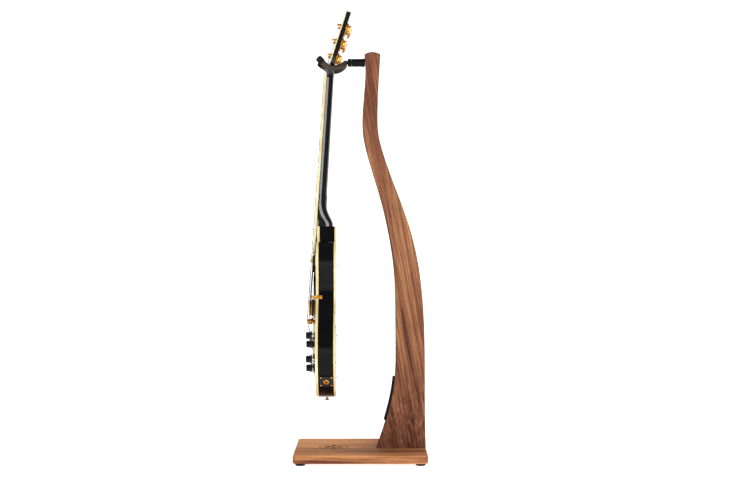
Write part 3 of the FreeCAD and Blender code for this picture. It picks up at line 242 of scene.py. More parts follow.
# ---------------------------------------------------------------- wood
WALNUT_TONES = (
    (0.24, (0.030, 0.010, 0.007)),
    (0.38, (0.095, 0.035, 0.021)),
    (0.45, (0.140, 0.053, 0.032)),
    (0.50, (0.186, 0.070, 0.037)),
    (0.56, (0.253, 0.109, 0.055)),
    (0.63, (0.340, 0.163, 0.079)),
    (0.74, (0.470, 0.215, 0.094)),
    (0.90, (0.640, 0.285, 0.125)),
    (1.00, (0.760, 0.380, 0.180)),
)
PORE_DARK = (0.50, 0.42, 0.38)
BURNT = (0.020, 0.012, 0.009)
WALNUT_GLOSS = 0.02
WALNUT_ROUGHNESS = (0.55, 0.75)
WAVER_SIZE = (0.05, 0.05, 0.28)
BROAD_FACTORS = (4.6, 4.6, 3.2)
FIBRE_FACTORS = (0.16, 0.16, 0.22)
PORE_SIZE = (0.0006, 0.0006, 0.009)
PORE_EDGE = (0.30, 0.43)
PORE_DEPTH = -0.00010
FIBRE_DEPTH = 0.00008


def scaled(size, factors):
    """The size along each axis, multiplied by its factor."""
    return tuple(length * factor for length, factor in zip(size, factors))


def walnut(name, feature, turn, shift=UNMOVED):
    """Walnut whose fibres run along local Z after the turn; feature scales the streaks."""
    wood = Shading(name, Specular_IOR_Level=WALNUT_GLOSS)

    def layer(size, *numbers):
        return wood.noise(wood.grain_space(size, turn, shift), *numbers)

    waver = layer(WAVER_SIZE, 2.0)
    broad = layer(scaled(feature, BROAD_FACTORS), 2.0, 0.5, 0.5)
    streak = layer(feature, 3.0, 0.6, 0.35)
    fibre = layer(scaled(feature, FIBRE_FACTORS), 3.0, 0.6)
    pores = layer(PORE_SIZE, 2.0, 0.6)
    return wood, waver, broad, streak, fibre, pores


def finish_walnut(wood, tone, burnt, fibre, pores, tones=WALNUT_TONES):
    """The colour ramp, open pores, satin sheen and fine relief that all the walnut shares."""
    colour = wood.ramp(tone, tones)
    pore_mask = wood.spread(pores, *PORE_EDGE, 1.0, 0.0)
    colour = wood.blend(pore_mask, colour, wood.blend(1.0, colour, PORE_DARK, "MULTIPLY"))
    wood.feed("Base Color", wood.blend(burnt, colour, BURNT))
    wood.feed("Roughness", wood.spread(fibre, *NOISE_SPAN, *WALNUT_ROUGHNESS))
    relief = wood.bump(fibre, FIBRE_DEPTH, 0.5)
    wood.feed("Normal", wood.bump(pore_mask, PORE_DEPTH, 0.6, relief))
    return wood.material


# The weights are for the broad figure, the streaks and the fibres
POST_LEAN = math.radians(10.0)
POST_FEATURE = (0.030, 0.0052, 0.22)
POST_WEIGHTS = (0.34, 0.46, 0.46)
# share of the post's height, tone there
POST_TONES = (
    (0.000, 0.425),
    (0.050, 0.437),
    (0.146, 0.474),
    (0.272, 0.524),
    (0.420, 0.562),
    (0.560, 0.566),
    (0.690, 0.555),
    (0.850, 0.480),
    (1.000, 0.455),
)
# place across the grain, half width, lift of the tone
PALE_BANDS = ((0.197, 0.012, 0.010), (0.186, 0.004, 0.020))
PALE_REACH = (0.36, 0.98)
PALE_FADE = 0.16
GRAIN_WANDER = 0.022
CURL_SIZE = (0.010, 0.010, 0.024)
CURL_AMOUNT = 0.55
CURL_REACH = (0.10, 0.26)
VEIN_ACROSS = 0.170
VEIN_EDGE = (0.0006, 0.0024)
VEIN_STRENGTH = 0.85
VEIN_REACH = (0.12, 0.40)
VEIN_FADE = 0.03
BASE_TURN = math.radians(90.0)
BASE_WARMTH = (1.00, 0.92, 0.84)
BASE_TONES = tuple((stop, scaled(tone, BASE_WARMTH)) for stop, tone in WALNUT_TONES)
BASE_FEATURE = (0.020, 0.009, 0.20)
BASE_SHIFT = (0.34, 0.2, 0.1)
# Painted light: the whole board's tone is raised so that its dimly lit top reads bright; its sides are
# dropped back below
BASE_TONE = 0.945
BASE_WAVER = 0.12
BASE_WEIGHTS = (1.00, 1.05, 0.40)
# Painted shade on the top where the post shades it: its reach along the board toward the post, its fade
# across the board's middle, and how much darker it gets
POST_SHADE_ALONG = (-0.10, 0.05)
POST_SHADE_ACROSS = (0.115, 0.150)
POST_SHADE_DROP = 0.22
# Depths below the board's top: the start of its sides, which are painted darker than the top because the
# top catches less light (painted light), the start of the cut rosette, and just under the rosette's floor
SIDE_SHADE_DEPTHS = (0.0035, 0.0005)
SIDE_SHADE_DROP = -0.265
CUT_START = (0.0004, 0.0001)
CUT_END = (0.0014, 0.0009)
CUT_DARK = 0.85
ROSETTE_Y = -0.070
ROSETTE_REACH = (0.042, 0.044)
# Shrinks heights to nothing, so that only the distance across the board counts
FLATTENED = (1.0, 1.0, 1000.0)


def swing(wood, value, amount):
    """The value's departure from its middle, times the amount."""
    return wood.maths("MULTIPLY", wood.maths("SUBTRACT", value, 0.5), amount)


def distance_from(wood, value, middle):
    """How far the value lies from the middle, either way."""
    return wood.maths("ABSOLUTE", wood.maths("SUBTRACT", value, middle), 0.0)


def between(wood, value, low, high, soft):
    """One between low and high, fading to nothing over the soft width."""
    rise = wood.spread(value, low, low + soft, 0.0, 1.0)
    fall = wood.spread(value, high - soft, high, 1.0, 0.0)
    return wood.maths("MULTIPLY", rise, fall)


def figured(wood, tone, layers, weights):
    """The tone, moved by each layer of the wood's figure."""
    for value, weight in zip(layers, weights):
        tone = wood.maths("ADD", tone, swing(wood, value, weight))
    return tone


def by_depth(wood, height, level, depths, start, end):
    """Start to end, as the height crosses the two depths below the level."""
    return wood.spread(height, level - depths[0], level - depths[1], start, end)


def post_walnut():
    """The post: streaks that lean back on the way down, pale bands, a curled foot and a dark vein."""
    turn = (POST_LEAN, 0.0, 0.0)
    wood, waver, broad, streak, fibre, pores = walnut("walnut_post", POST_FEATURE, turn)
    low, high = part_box("post")
    height = wood.axis(wood.grain_space(IN_METRES), "Z")
    share = wood.even(height, low.z, high.z, 0.0, 1.0)
    tone = wood.ramp(share, [(stop, triple(level)) for stop, level in POST_TONES])
    tone = figured(wood, tone, (broad, streak, fibre), POST_WEIGHTS)
    across = wood.axis(wood.grain_space(IN_METRES, turn), "Y")
    wandering = wood.maths("ADD", across, swing(wood, waver, GRAIN_WANDER))
    middle = between(wood, height, *PALE_REACH, PALE_FADE)
    for centre, half, lift in PALE_BANDS:
        band = wood.spread(distance_from(wood, wandering, centre), half / 2, half, lift, 0.0)
        tone = wood.maths("ADD", tone, wood.maths("MULTIPLY", band, middle))
    curl = wood.noise(wood.grain_space(CURL_SIZE, turn), 4.0, 0.6, 1.2)
    low_down = wood.spread(height, *CURL_REACH, 1.0, 0.0)
    tone = wood.maths("ADD", tone, wood.maths("MULTIPLY", swing(wood, curl, CURL_AMOUNT), low_down))
    vein = wood.spread(distance_from(wood, wandering, VEIN_ACROSS), *VEIN_EDGE, VEIN_STRENGTH, 0.0)
    dark = wood.maths("MULTIPLY", vein, between(wood, height, *VEIN_REACH, VEIN_FADE))
    return finish_walnut(wood, tone, dark, fibre, pores)


def base_walnut():
    """The base board: paler walnut, with painted shade in the middle of its post end, sides painted darker
    than its dimly lit top, and a darker cut.
    """
    turn = (BASE_TURN, 0.0, 0.0)
    wood, waver, broad, streak, fibre, pores = walnut("walnut_base", BASE_FEATURE, turn, BASE_SHIFT)
    place = wood.grain_space(IN_METRES)
    height = wood.axis(place, "Z")
    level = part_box("base_board")[1].z
    tone = wood.maths("ADD", BASE_TONE, swing(wood, waver, BASE_WAVER))
    tone = figured(wood, tone, (broad, streak, fibre), BASE_WEIGHTS)
    # Painted light: below the top, the sides are painted darker than the top
    tone = wood.maths("ADD", tone, by_depth(wood, height, level, SIDE_SHADE_DEPTHS, SIDE_SHADE_DROP, 0.0))
    # Painted shade from the post, darkening the middle of the board's post end
    shade_toward_post = wood.spread(wood.axis(place, "Y"), *POST_SHADE_ALONG, 0.0, POST_SHADE_DROP)
    shaded_middle = wood.spread(distance_from(wood, wood.axis(place, "X"), 0.0), *POST_SHADE_ACROSS, 1.0, 0.0)
    tone = wood.maths("SUBTRACT", tone, wood.maths("MULTIPLY", shade_toward_post, shaded_middle))
    under_top = by_depth(wood, height, level, CUT_START, CUT_DARK, 0.0)
    over_end = by_depth(wood, height, level, CUT_END, 0.0, 1.0)
    around = wood.length(wood.grain_space(FLATTENED, UNTURNED, (0.0, ROSETTE_Y, 0.0)))
    near = wood.spread(around, *ROSETTE_REACH, 1.0, 0.0)
    burnt = wood.maths("MULTIPLY", wood.maths("MULTIPLY", under_top, over_end), near)
    return finish_walnut(wood, tone, burnt, fibre, pores, BASE_TONES)


# ---------------------------------------------------------------- other materials
# dark tone, light tone, roughness, grain size, grain depth, specular level
MOULDED = {
    "foot_rubber": (triple(0.004), triple(0.010), (0.62, 0.85), 0.0006, 0.00008, 0.15),
    "pad_rubber": (triple(0.004), triple(0.010), (0.70, 0.92), 0.0009, 0.00015, 0.12),
    "yoke_rubber": ((0.028, 0.019, 0.014), (0.052, 0.036, 0.027), (0.60, 0.82), 0.0008, 0.0001, 0.20),
    "black_metal": (triple(0.003), triple(0.007), (0.32, 0.52), 0.0010, 0.00006, 0.06),
    "black_plastic": (triple(0.004), triple(0.009), (0.16, 0.32), 0.0012, 0.00003, 0.30),
    "knob_plastic": (triple(0.003), triple(0.007), (0.14, 0.28), 0.0010, 0.00002, 0.15),
}
MOULDED_SPAN = (0.32, 0.68)
# bright tone, worn tone, roughness
PLATED = {
    "zinc_steel": ((0.70, 0.71, 0.72), (0.42, 0.43, 0.44), (0.28, 0.50)),
    "nickel": ((0.78, 0.76, 0.72), (0.52, 0.50, 0.46), (0.16, 0.32)),
    "gold": ((0.64, 0.30, 0.046), (0.30, 0.11, 0.013), (0.12, 0.30)),
}
PLATED_SPAN = (0.32, 0.56)
# specular level
LACQUERS = {"black_lacquer": 0.12, "neck_lacquer": 0.42}
HAIRLINE_SPAN = (0.3, 0.75)
LACQUER_TONES = ((0.0010, 0.0010, 0.0013), (0.0030, 0.0030, 0.0034))
# grain size
CREAMS = {"cream_binding": 0.012, "cream_plastic": 0.004}
CREAM_TONES = ((0.30, (0.52, 0.37, 0.13)), (0.50, (0.66, 0.52, 0.24)), (0.68, (0.77, 0.65, 0.36)))
EBONY_TONES = ((0.35, (0.007, 0.005, 0.004)), (0.55, (0.018, 0.012, 0.009)), (0.72, (0.048, 0.030, 0.020)))
PEARL_TONES = (
    (0.30, (0.46, 0.50, 0.50)),
    (0.42, (0.72, 0.70, 0.66)),
    (0.52, (0.86, 0.80, 0.76)),
    (0.60, (0.66, 0.76, 0.70)),
    (0.72, (0.92, 0.91, 0.86)),
)
WIRE_TONES = ((0.52, 0.50, 0.47), (0.80, 0.79, 0.77))
WRAP_PITCH = 0.00032
# Radians of wave for each unit of the vector, at scale 1
WAVE_RATE = 20
WOUND_EDGE = (-0.0005, 0.0005)


def lacquer(name, gloss):
    """Deep black gloss over wood, with a faint orange peel and hairline polishing marks."""
    paint = Shading(name, Specular_IOR_Level=gloss)
    cloud = paint.noise(paint.grain_space(triple(0.060)), 3.0)
    hairline = paint.noise(paint.grain_space((0.0009, 0.0009, 0.045), (0.3, 0.2, 0.0)), 2.0)
    peel = paint.noise(paint.grain_space(triple(0.0040)), 2.0)
    paint.feed("Base Color", paint.two_tone(cloud, *LACQUER_TONES))
    paint.feed("Roughness", paint.spread(hairline, *HAIRLINE_SPAN, 0.05, 0.11))
    paint.feed("Normal", paint.bump(peel, 0.00003, 0.30))
    return paint.material


def aged_cream(name, grain):
    """Cream celluloid that has yellowed unevenly, with a soft gloss."""
    soft = {"Subsurface_Weight": 0.10, "Subsurface_Scale": 0.002}
    cream = Shading(name, Coat_Weight=0.5, Coat_Roughness=0.08, **soft)
    cloud = cream.noise(cream.grain_space((0.020, 0.020, 0.060)), 4.0)
    speck = cream.noise(cream.grain_space((grain, grain, grain * 0.1)), 3.0)
    cream.feed("Base Color", cream.ramp(cloud, CREAM_TONES))
    cream.feed("Roughness", cream.spread(speck, *NOISE_SPAN, 0.22, 0.40))
    cream.feed("Normal", cream.bump(speck, 0.00003, 0.4))
    return cream.material


def plated(name, bright, worn, rough):
    """Plated metal: cloudy brightness, fine polishing lines and a little wear."""
    metal = Shading(name, Metallic=1.0)
    cloud = metal.noise(metal.grain_space(triple(0.012)), 4.0, 0.6)
    lines = metal.noise(metal.grain_space((0.0004, 0.0060, 0.0060), (0.2, 0.1, 0.4)), 2.0)
    metal.feed("Base Color", metal.two_tone(cloud, worn, bright, PLATED_SPAN))
    metal.feed("Roughness", metal.spread(metal.blend(0.5, cloud, lines), *NOISE_SPAN, *rough))
    metal.feed("Normal", metal.bump(lines, 0.00001, 0.35))
    return metal.material


def moulded(name, dark, light, rough, grain, depth, gloss):
    """Moulded rubber or plastic: a fine grain, cloudy wear and uneven gloss."""
    stuff = Shading(name, Specular_IOR_Level=gloss)
    cloud = stuff.noise(stuff.grain_space(triple(0.018)), 4.0, 0.6)
    speck = stuff.noise(stuff.grain_space(triple(grain)), 3.0, 0.6)
    stuff.feed("Base Color", stuff.two_tone(cloud, dark, light, MOULDED_SPAN))
    stuff.feed("Roughness", stuff.spread(stuff.blend(0.5, cloud, speck), *NOISE_SPAN, *rough))
    stuff.feed("Normal", stuff.bump(speck, depth, 0.6))
    return stuff.material


def mother_of_pearl(name):
    """Layered shell: drifting pale pinks and greens under a polish."""
    shell = Shading(name, Coat_Weight=0.8, Coat_Roughness=0.05, Sheen_Weight=0.2)
    layers = shell.noise(shell.grain_space((0.0040, 0.0040, 0.0110), (0.4, 0.3, 0.5)), 4.0, 0.6, 2.2)
    fleck = shell.noise(shell.grain_space((0.0015, 0.0015, 0.0030)), 3.0, 0.6, 1.0)
    shell.feed("Base Color", shell.ramp(layers, PEARL_TONES))
    shell.feed("Roughness", shell.spread(fleck, *NOISE_SPAN, 0.12, 0.34))
    shell.feed("Normal", shell.bump(layers, 0.00004, 0.4))
    return shell.material


def ebony_wood(name):
    """Near-black board with fine brown streaks and short open pores along the neck."""
    ebony = Shading(name, Specular_IOR_Level=0.4)
    streak = ebony.noise(ebony.grain_space((0.0030, 0.0030, 0.10)), 3.0, 0.6, 0.3)
    pores = ebony.noise(ebony.grain_space((0.0003, 0.0003, 0.0045)), 2.0)
    ebony.feed("Base Color", ebony.ramp(streak, EBONY_TONES))
    ebony.feed("Roughness", ebony.spread(streak, *NOISE_SPAN, 0.30, 0.50))
    ebony.feed("Normal", ebony.bump(pores, 0.00005, 0.6))
    return ebony.material


def string_wire(name):
    """Bright steel wire; the thick strings, on the bass side, carry a fine wrap."""
    wire = Shading(name, Metallic=1.0)
    place = wire.grain_space(IN_METRES)
    wave = wire.node("ShaderNodeTexWave")
    wave.bands_direction = "Z"
    wave.inputs["Scale"].default_value = 2 * math.pi / (WAVE_RATE * WRAP_PITCH)
    wire.link(place, wave.inputs["Vector"])
    cloud = wire.noise(wire.grain_space((0.004, 0.004, 0.030)), 3.0)
    wound = wire.spread(wire.axis(place, "X"), *WOUND_EDGE, 1.0, 0.0)
    wrap = wire.maths("MULTIPLY", wave.outputs[1], wound)
    wire.feed("Base Color", wire.two_tone(cloud, *WIRE_TONES))
    wire.feed("Roughness", wire.spread(cloud, *NOISE_SPAN, 0.18, 0.36))
    wire.feed("Normal", wire.bump(wrap, 0.00006, 0.8))
    return wire.material


def make_materials():
    """Every finish by name; the walnut and the lacquer have two each."""
    finishes = {
        "walnut_post": post_walnut(),
        "walnut_base": base_walnut(),
        "ebony": ebony_wood("ebony"),
        "pearl": mother_of_pearl("pearl"),
        "string_steel": string_wire("string_steel"),
    }
    for name, numbers in MOULDED.items():
        finishes[name] = moulded(name, *numbers)
    for name, numbers in PLATED.items():
        finishes[name] = plated(name, *numbers)
    for name, gloss in LACQUERS.items():
        finishes[name] = lacquer(name, gloss)
    for name, grain in CREAMS.items():
        finishes[name] = aged_cream(name, grain)
    return finishes


def dress_cad_nodes(materials):
    """Gives each CAD node the finish of its slot, in the version made for that node."""
    for name, node in NODES.items():
        for holder in node.material_slots:
            slot_name = holder.material.name
            if slot_name == "walnut":
                slot_name = "walnut_post" if name == "post" else "walnut_base"
            if name == "neck":
                slot_name = "neck_lacquer"
            holder.material = materials[slot_name]


# ---------------------------------------------------------------- mesh pieces
UPWARD = Vector((0, 0, 1))
FORWARD = Vector((0, -1, 0))
BACKWARD = Vector((0, 1, 0))
NEARLY_ALONG_X = 0.8
CREASE = math.radians(38.0)
ROUND_SIDES = 48


def ellipse(centre, side_u, side_v, count, radius_u, radius_v):
    """A ring of points round the centre."""
    points = []
    for index in range(count):
        angle = 2 * math.pi * index / count
        points.append(centre + side_u * radius_u * math.cos(angle) + side_v * radius_v * math.sin(angle))
    return points


def in_metres(profile_mm, lift=0.0):
    """The profile's (radius, height) pairs in metres, lifted along the axis."""
    return [(radius * MM, lift + height * MM) for radius, height in profile_mm]


def sides_of(axis):
    """Two unit directions square to the axis and to each other."""
    helper = X_AXIS if abs(axis.x) < NEARLY_ALONG_X else UPWARD
    side_u = axis.cross(helper).normalized()
    return side_u, axis.cross(side_u).normalized()


def lathe(origin, axis, profile, count=ROUND_SIDES):
    """Rings of a turned form; the profile is (radius, height along the axis) pairs."""
    side_u, side_v = sides_of(axis)
    rings = []
    for radius, height in profile:
        rings.append(ellipse(origin + axis * height, side_u, side_v, count, radius, radius))
    return rings


def tube(path, radius, count):
    """Rings of a wire that follows the path, without twisting."""
    rings = []
    tangent = (path[1] - path[0]).normalized()
    side_u = sides_of(tangent)[0]
    for index, point in enumerate(path):
        before = path[max(index - 1, 0)]
        after = path[min(index + 1, len(path) - 1)]
        tangent = (after - before).normalized()
        side_u = (side_u - tangent * side_u.dot(tangent)).normalized()
        rings.append(ellipse(point, side_u, tangent.cross(side_u), count, radius, radius))
    return rings


def add_shell(form, rings):
    """Skins the rings into one closed shell."""
    rows = [[form.verts.new(point) for point in ring] for ring in rings]
    count = len(rows[0])
    for lower, upper in zip(rows, rows[1:]):
        for index in range(count):
            after = (index + 1) % count
            form.faces.new((lower[index], lower[after], upper[after], upper[index]))
    form.faces.new(list(reversed(rows[0])))
    form.faces.new(rows[-1])


def make_piece(name, shells, body, slot_name, materials, nodes):
    """One named mesh from ring shells: it rides on the body and stands for those CAD nodes."""
    mesh = bpy.data.meshes.new(name)
    form = bmesh.new()
    for rings in shells:
        add_shell(form, rings)
    bmesh.ops.recalc_face_normals(form, faces=form.faces)
    form.to_mesh(mesh)
    form.free()
    mesh.shade_smooth()
    mesh.set_sharp_from_angle(angle=CREASE)
    mesh.materials.append(materials[slot_name])
    piece = bpy.data.objects.new(name, mesh)
    bpy.context.scene.collection.objects.link(piece)
    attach(piece, body)
    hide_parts(*nodes)


# ---------------------------------------------------------------- knobs and switch
KNOBS = ("neck_volume_knob", "bridge_volume_knob", "neck_tone_knob", "bridge_tone_knob")
KNOB_SIDES = 120
KNOB_FLUTES = 40
FLUTE_DEPTH = 0.22 * MM
KNOB_HEIGHT = 16.0 * MM
# radius, height, whether it is fluted
KNOB_PROFILE_MM = (
    (3.5, 0.35, 0),
    (12.6, 0.35, 0),
    (13.3, 0.65, 0),
    (13.5, 1.15, 0),
    (13.1, 1.60, 0),
    (11.9, 2.10, 0),
    (10.7, 3.10, 0),
    (9.8, 4.60, 0),
    (9.35, 6.20, 0),
    (9.15, 7.20, 1),
    (8.85, 10.5, 1),
    (8.50, 14.2, 1),
    (8.35, 14.9, 0),
    (7.95, 15.55, 0),
    (7.2, 15.95, 0),
    (5.9, 15.85, 0),
    (5.6, 15.60, 0),
    (0.2, 15.60, 0),
)


def knob_rings(origin, axis):
    """A hat-shaped knob: a flared skirt, a fluted grip and a shallow dish in its top."""
    side_u, side_v = sides_of(axis)
    rings = []
    for radius, height, fluted in KNOB_PROFILE_MM:
        ring = []
        for index in range(KNOB_SIDES):
            angle = 2 * math.pi * index / KNOB_SIDES
            cut = fluted * FLUTE_DEPTH * 0.5 * (1 - math.cos(KNOB_FLUTES * angle))
            reach = radius * MM - cut
            direction = side_u * math.cos(angle) + side_v * math.sin(angle)
            ring.append(origin + axis * (height * MM) + direction * reach)
        rings.append(ring)
    return rings


def make_knobs(materials):
    """The four hat-shaped knobs, each on its own body."""
    for body in KNOBS:
        low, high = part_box(body)
        centre = (low + high) / 2
        origin = Vector((centre.x, low.y + KNOB_HEIGHT, centre.z))
        shell = knob_rings(origin, FORWARD)
        make_piece("shell_" + body, [shell], body, "knob_plastic", materials, [body])


TIP_SIDES = 40
TIP_PROFILE_MM = (
    (1.6, 0.4),
    (1.7, 7.5),
    (2.1, 9.4),
    (2.9, 10.0),
    (3.1, 10.8),
    (3.2, 13.0),
    (3.5, 15.6),
    (3.9, 18.0),
    (4.0, 19.4),
    (3.7, 21.2),
    (2.9, 22.4),
    (1.6, 23.0),
    (0.2, 23.2),
)


def make_toggle_tip(materials):
    """The pickup switch's plastic tip, swelling to a round end."""
    joint = JOINTS["toggle_switch_throw"]
    pivot = Vector(joint["pos_m"])
    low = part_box("toggle_lever")[0]
    length = (pivot.y - low.y) / MM
    share = length / TIP_PROFILE_MM[-1][1]
    profile = [(radius * MM, height * share * MM) for radius, height in TIP_PROFILE_MM]
    rings = lathe(pivot, FORWARD, profile, TIP_SIDES)
    make_piece("switch_tip", [rings], "toggle_lever", "cream_plastic", materials, ["toggle_lever"])


# ---------------------------------------------------------------- tuners
BUTTON_SIDES = 36
COLLAR_SIDES = 32
SHAFT_SIDES = 24
SHAFT_RADIUS = 2.0 * MM
SHAFT_END = 17.0 * MM
# place along the shaft from the tip, half length, half thickness
BUTTON_SECTIONS_MM = (
    (-17.9, 2.0, 1.8),
    (-17.3, 3.3, 2.7),
    (-16.0, 5.2, 3.3),
    (-14.0, 7.3, 3.9),
    (-11.5, 8.9, 4.3),
    (-8.5, 9.6, 4.6),
    (-5.5, 9.3, 4.5),
    (-3.0, 8.5, 4.25),
    (-1.2, 7.0, 3.6),
    (-0.3, 5.0, 2.6),
    (0.0, 2.2, 1.2),
)
COLLAR_PROFILE_MM = (
    (2.0, -21.4),
    (2.9, -20.9),
    (3.0, -20.0),
    (2.6, -19.3),
    (2.6, -18.9),
    (3.0, -18.3),
    (2.8, -17.6),
    (1.9, -17.2),
)


def head_axes():
    """The headstock's out-of-face direction and its lengthwise direction."""
    out = Vector(JOINTS["string_post_1_turn"]["axis"]).normalized()
    if out.y > 0:
        out = -out
    return out, X_AXIS.cross(out).normalized()


def make_tuner_key(number, materials):
    """A tulip-shaped button with its collar and shaft."""
    body = f"tuner_key_{number}"
    joint = JOINTS[body + "_turn"]
    low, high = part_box(body)
    side = 1 if low.x + high.x > 0 else -1
    tip = max(abs(low.x), abs(high.x))
    root = min(abs(low.x), abs(high.x))
    out, along = head_axes()
    origin = Vector((0, *joint["pos_m"][1:]))
    axis = Vector((side, 0, 0))
    button = []
    for reach, half_long, half_thick in BUTTON_SECTIONS_MM:
        centre = origin + axis * (tip + reach * MM)
        button.append(ellipse(centre, along, out, BUTTON_SIDES, half_long * MM, half_thick * MM))
    collar = lathe(origin, axis, in_metres(COLLAR_PROFILE_MM, tip), COLLAR_SIDES)
    shaft_profile = [(SHAFT_RADIUS, root), (SHAFT_RADIUS, tip - SHAFT_END)]
    shaft = lathe(origin, axis, shaft_profile, SHAFT_SIDES)
    make_piece(f"tulip_key_{number}", [button, collar, shaft], body, "gold", materials, [body])


STRING_GAUGES_MM = (1.17, 0.91, 0.66, 0.43, 0.33, 0.25)
POST_STRINGS = (0, 1, 2, 5, 4, 3)
POST_TURNS = 3
TURN_STEPS = 28
WIRE_SIDES = 10
WIND_PITCH = 1.02
WIND_START = 5.2 * MM
WAIST_RADIUS = 2.5 * MM
POST_RADIUS = 3.0 * MM
# radius, depth below the top
POST_TOP_MM = (
    (3.00, 5.6),
    (2.62, 4.9),
    (2.50, 4.2),
    (2.50, 3.0),
    (2.62, 2.2),
    (3.00, 1.6),
    (3.00, 0.45),
    (2.80, 0.12),
    (2.45, 0.0),
    (0.20, 0.0),
)


def make_string_post(number, materials):
    """A waisted tuner post and the turns of string round it."""
    body = f"string_post_{number}"
    out, _ = head_axes()
    joint = JOINTS[body + "_turn"]
    pivot = Vector(joint["pos_m"])
    vertices = [vertex.co for vertex in NODES[body].data.vertices]
    reaches = [(vertex - pivot).dot(out) for vertex in vertices]
    top, bottom = max(reaches), min(reaches)
    profile = [(POST_RADIUS, bottom)]
    profile += [(radius * MM, top - depth * MM) for radius, depth in POST_TOP_MM]
    shells = [lathe(pivot, out, profile)]
    gauge = STRING_GAUGES_MM[POST_STRINGS[number - 1]] * MM
    side_u, side_v = sides_of(out)
    path = []
    for step in range(POST_TURNS * TURN_STEPS + 1):
        angle = 2 * math.pi * step / TURN_STEPS
        direction = side_u * math.cos(angle) + side_v * math.sin(angle)
        height = top - WIND_START + gauge * WIND_PITCH * step / TURN_STEPS
        path.append(pivot + out * height + direction * (WAIST_RADIUS + gauge / 2))
    shells.append(tube(path, gauge / 2, WIRE_SIDES))
    make_piece(f"wound_post_{number}", shells, body, "gold", materials, [body])


# ---------------------------------------------------------------- stand pieces
FOOT_PROFILE_MM = (
    (9.8, 6.0),
    (12.4, 6.0),
    (12.8, 5.4),
    (12.7, 3.4),
    (12.2, 1.4),
    (11.4, 0.4),
    (10.2, 0.0),
    (7.4, 0.0),
    (6.6, 0.5),
    (6.2, 1.6),
    (5.2, 2.0),
    (0.2, 2.0),
)


def make_feet(materials):
    """Four round rubber feet with a rolled lower edge and a screw recess."""
    low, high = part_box("foot_pads")
    reach = max(FOOT_PROFILE_MM)[0] * MM
    profile = in_metres(FOOT_PROFILE_MM, low.z)
    shells = []
    for x in (low.x + reach, high.x - reach):
        for y in (low.y + reach, high.y - reach):
            shells.append(lathe(Vector((x, y, 0)), UPWARD, profile))
    make_piece("rubber_feet", shells, "stand", "foot_rubber", materials, ["foot_pads"])


SLEEVE_PROFILE_MM = (
    (5.3, 0.0),
    (9.7, 0.0),
    (10.3, 0.6),
    (10.3, 3.4),
    (9.9, 3.8),
    (9.9, 4.6),
    (10.3, 5.0),
    (10.3, 27.2),
    (11.0, 27.7),
    (11.0, 33.6),
    (5.3, 33.9),
)


def make_sleeve(materials):
    """The spacer tube, with a turned groove near the yoke and a flange that meets the post."""
    low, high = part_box("hanger_sleeve")
    origin = Vector(((low.x + high.x) / 2, low.y, (low.z + high.z) / 2))
    shell = lathe(origin, BACKWARD, in_metres(SLEEVE_PROFILE_MM))
    make_piece("spacer_tube", [shell], "stand", "black_metal", materials, ["hanger_sleeve"])


# ---------------------------------------------------------------- studio
def make_floor():
    """A wide pale floor, faintly mottled and partly lit from within so that it stays white."""
    mesh = bpy.data.meshes.new("studio_floor")
    form = bmesh.new()
    bmesh.ops.create_grid(form, x_segments=FLOOR_STEPS, y_segments=FLOOR_STEPS, size=FLOOR_HALF)
    form.to_mesh(mesh)
    form.free()
    glow = {"Emission_Color": (1, 1, 1, 1), "Emission_Strength": FLOOR_GLOW}
    paper = Shading("floor_paper", Specular_IOR_Level=0.1, **glow)
    cloud = paper.noise(paper.grain_space(triple(1.5)), 3.0)
    paper.feed("Base Color", paper.two_tone(cloud, triple(0.93), triple(0.96)))
    paper.feed("Roughness", paper.spread(cloud, *NOISE_SPAN, 0.80, 0.95))
    mesh.materials.append(paper.material)
    floor = bpy.data.objects.new("studio_floor", mesh)
    bpy.context.scene.collection.objects.link(floor)


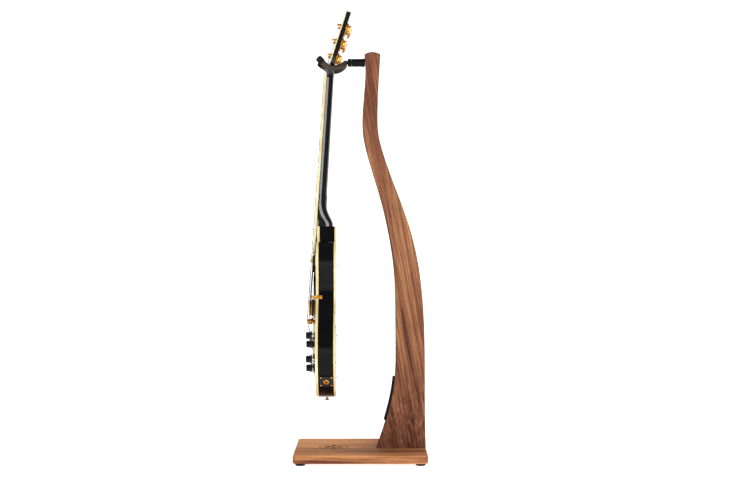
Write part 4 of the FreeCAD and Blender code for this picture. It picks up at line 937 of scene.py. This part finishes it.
def make_sky():
    """White behind the object, as the camera sees it, and grey on the other sides."""
    world = bpy.data.worlds.new("studio")
    world.use_nodes = True
    bpy.context.scene.world = world
    tree = world.node_tree
    coordinates = tree.nodes.new("ShaderNodeTexCoord")
    split = tree.nodes.new("ShaderNodeSeparateXYZ")
    fade = tree.nodes.new("ShaderNodeMapRange")
    set_range(fade, (*SKY_EDGE, SKY_STRENGTH, SKY_DIM), "SMOOTHSTEP")
    tree.links.new(coordinates.outputs["Generated"], split.inputs["Vector"])
    tree.links.new(split.outputs["X"], fade.inputs["Value"])
    background = tree.nodes["Background"]
    background.inputs["Color"].default_value = (1.0, 1.0, 1.0, 1.0)
    tree.links.new(fade.outputs["Result"], background.inputs["Strength"])


def make_light(name, place, aim, size, power):
    """A soft box that faces the aim point."""
    data = bpy.data.lights.new(name, "AREA")
    data.shape = "RECTANGLE"
    data.size, data.size_y = size
    data.energy = power
    light = bpy.data.objects.new(name, data)
    light.location = place
    light.rotation_mode = "QUATERNION"
    light.rotation_quaternion = (aim - light.location).to_track_quat("-Z", "Y")
    bpy.context.scene.collection.objects.link(light)


def make_camera():
    """A level camera at the object's side, on a long lens; returns its aim point."""
    low, high = CAD_BOX
    level = (low.z + high.z) / 2 + CAMERA_DROP
    data = bpy.data.cameras.new("camera")
    data.lens = LENS_MM
    data.sensor_width = SENSOR_MM
    data.clip_start = CLIP_NEAR
    data.clip_end = CLIP_FAR
    camera = bpy.data.objects.new("camera", data)
    camera.location = (CAMERA_DISTANCE, CAMERA_SIDE, level)
    target = Vector((0.0, AIM_SIDE, level))
    camera.rotation_mode = "QUATERNION"
    camera.rotation_quaternion = (target - camera.location).to_track_quat("-Z", "Y")
    bpy.context.scene.collection.objects.link(camera)
    bpy.context.scene.camera = camera
    return target


def make_studio():
    """Floor, sky, soft boxes and the camera."""
    bpy.context.scene.view_settings.view_transform = "Standard"
    make_floor()
    make_sky()
    target = make_camera()
    for name, place, size, power in SOFT_BOXES:
        make_light(name, place, target, size, power)


def main():
    """Dresses the CAD nodes, adds the finer pieces and sets the studio."""
    materials = make_materials()
    dress_cad_nodes(materials)
    make_knobs(materials)
    make_toggle_tip(materials)
    for number in range(1, STRING_COUNT + 1):
        make_tuner_key(number, materials)
        make_string_post(number, materials)
    make_feet(materials)
    make_sleeve(materials)
    make_studio()


main()
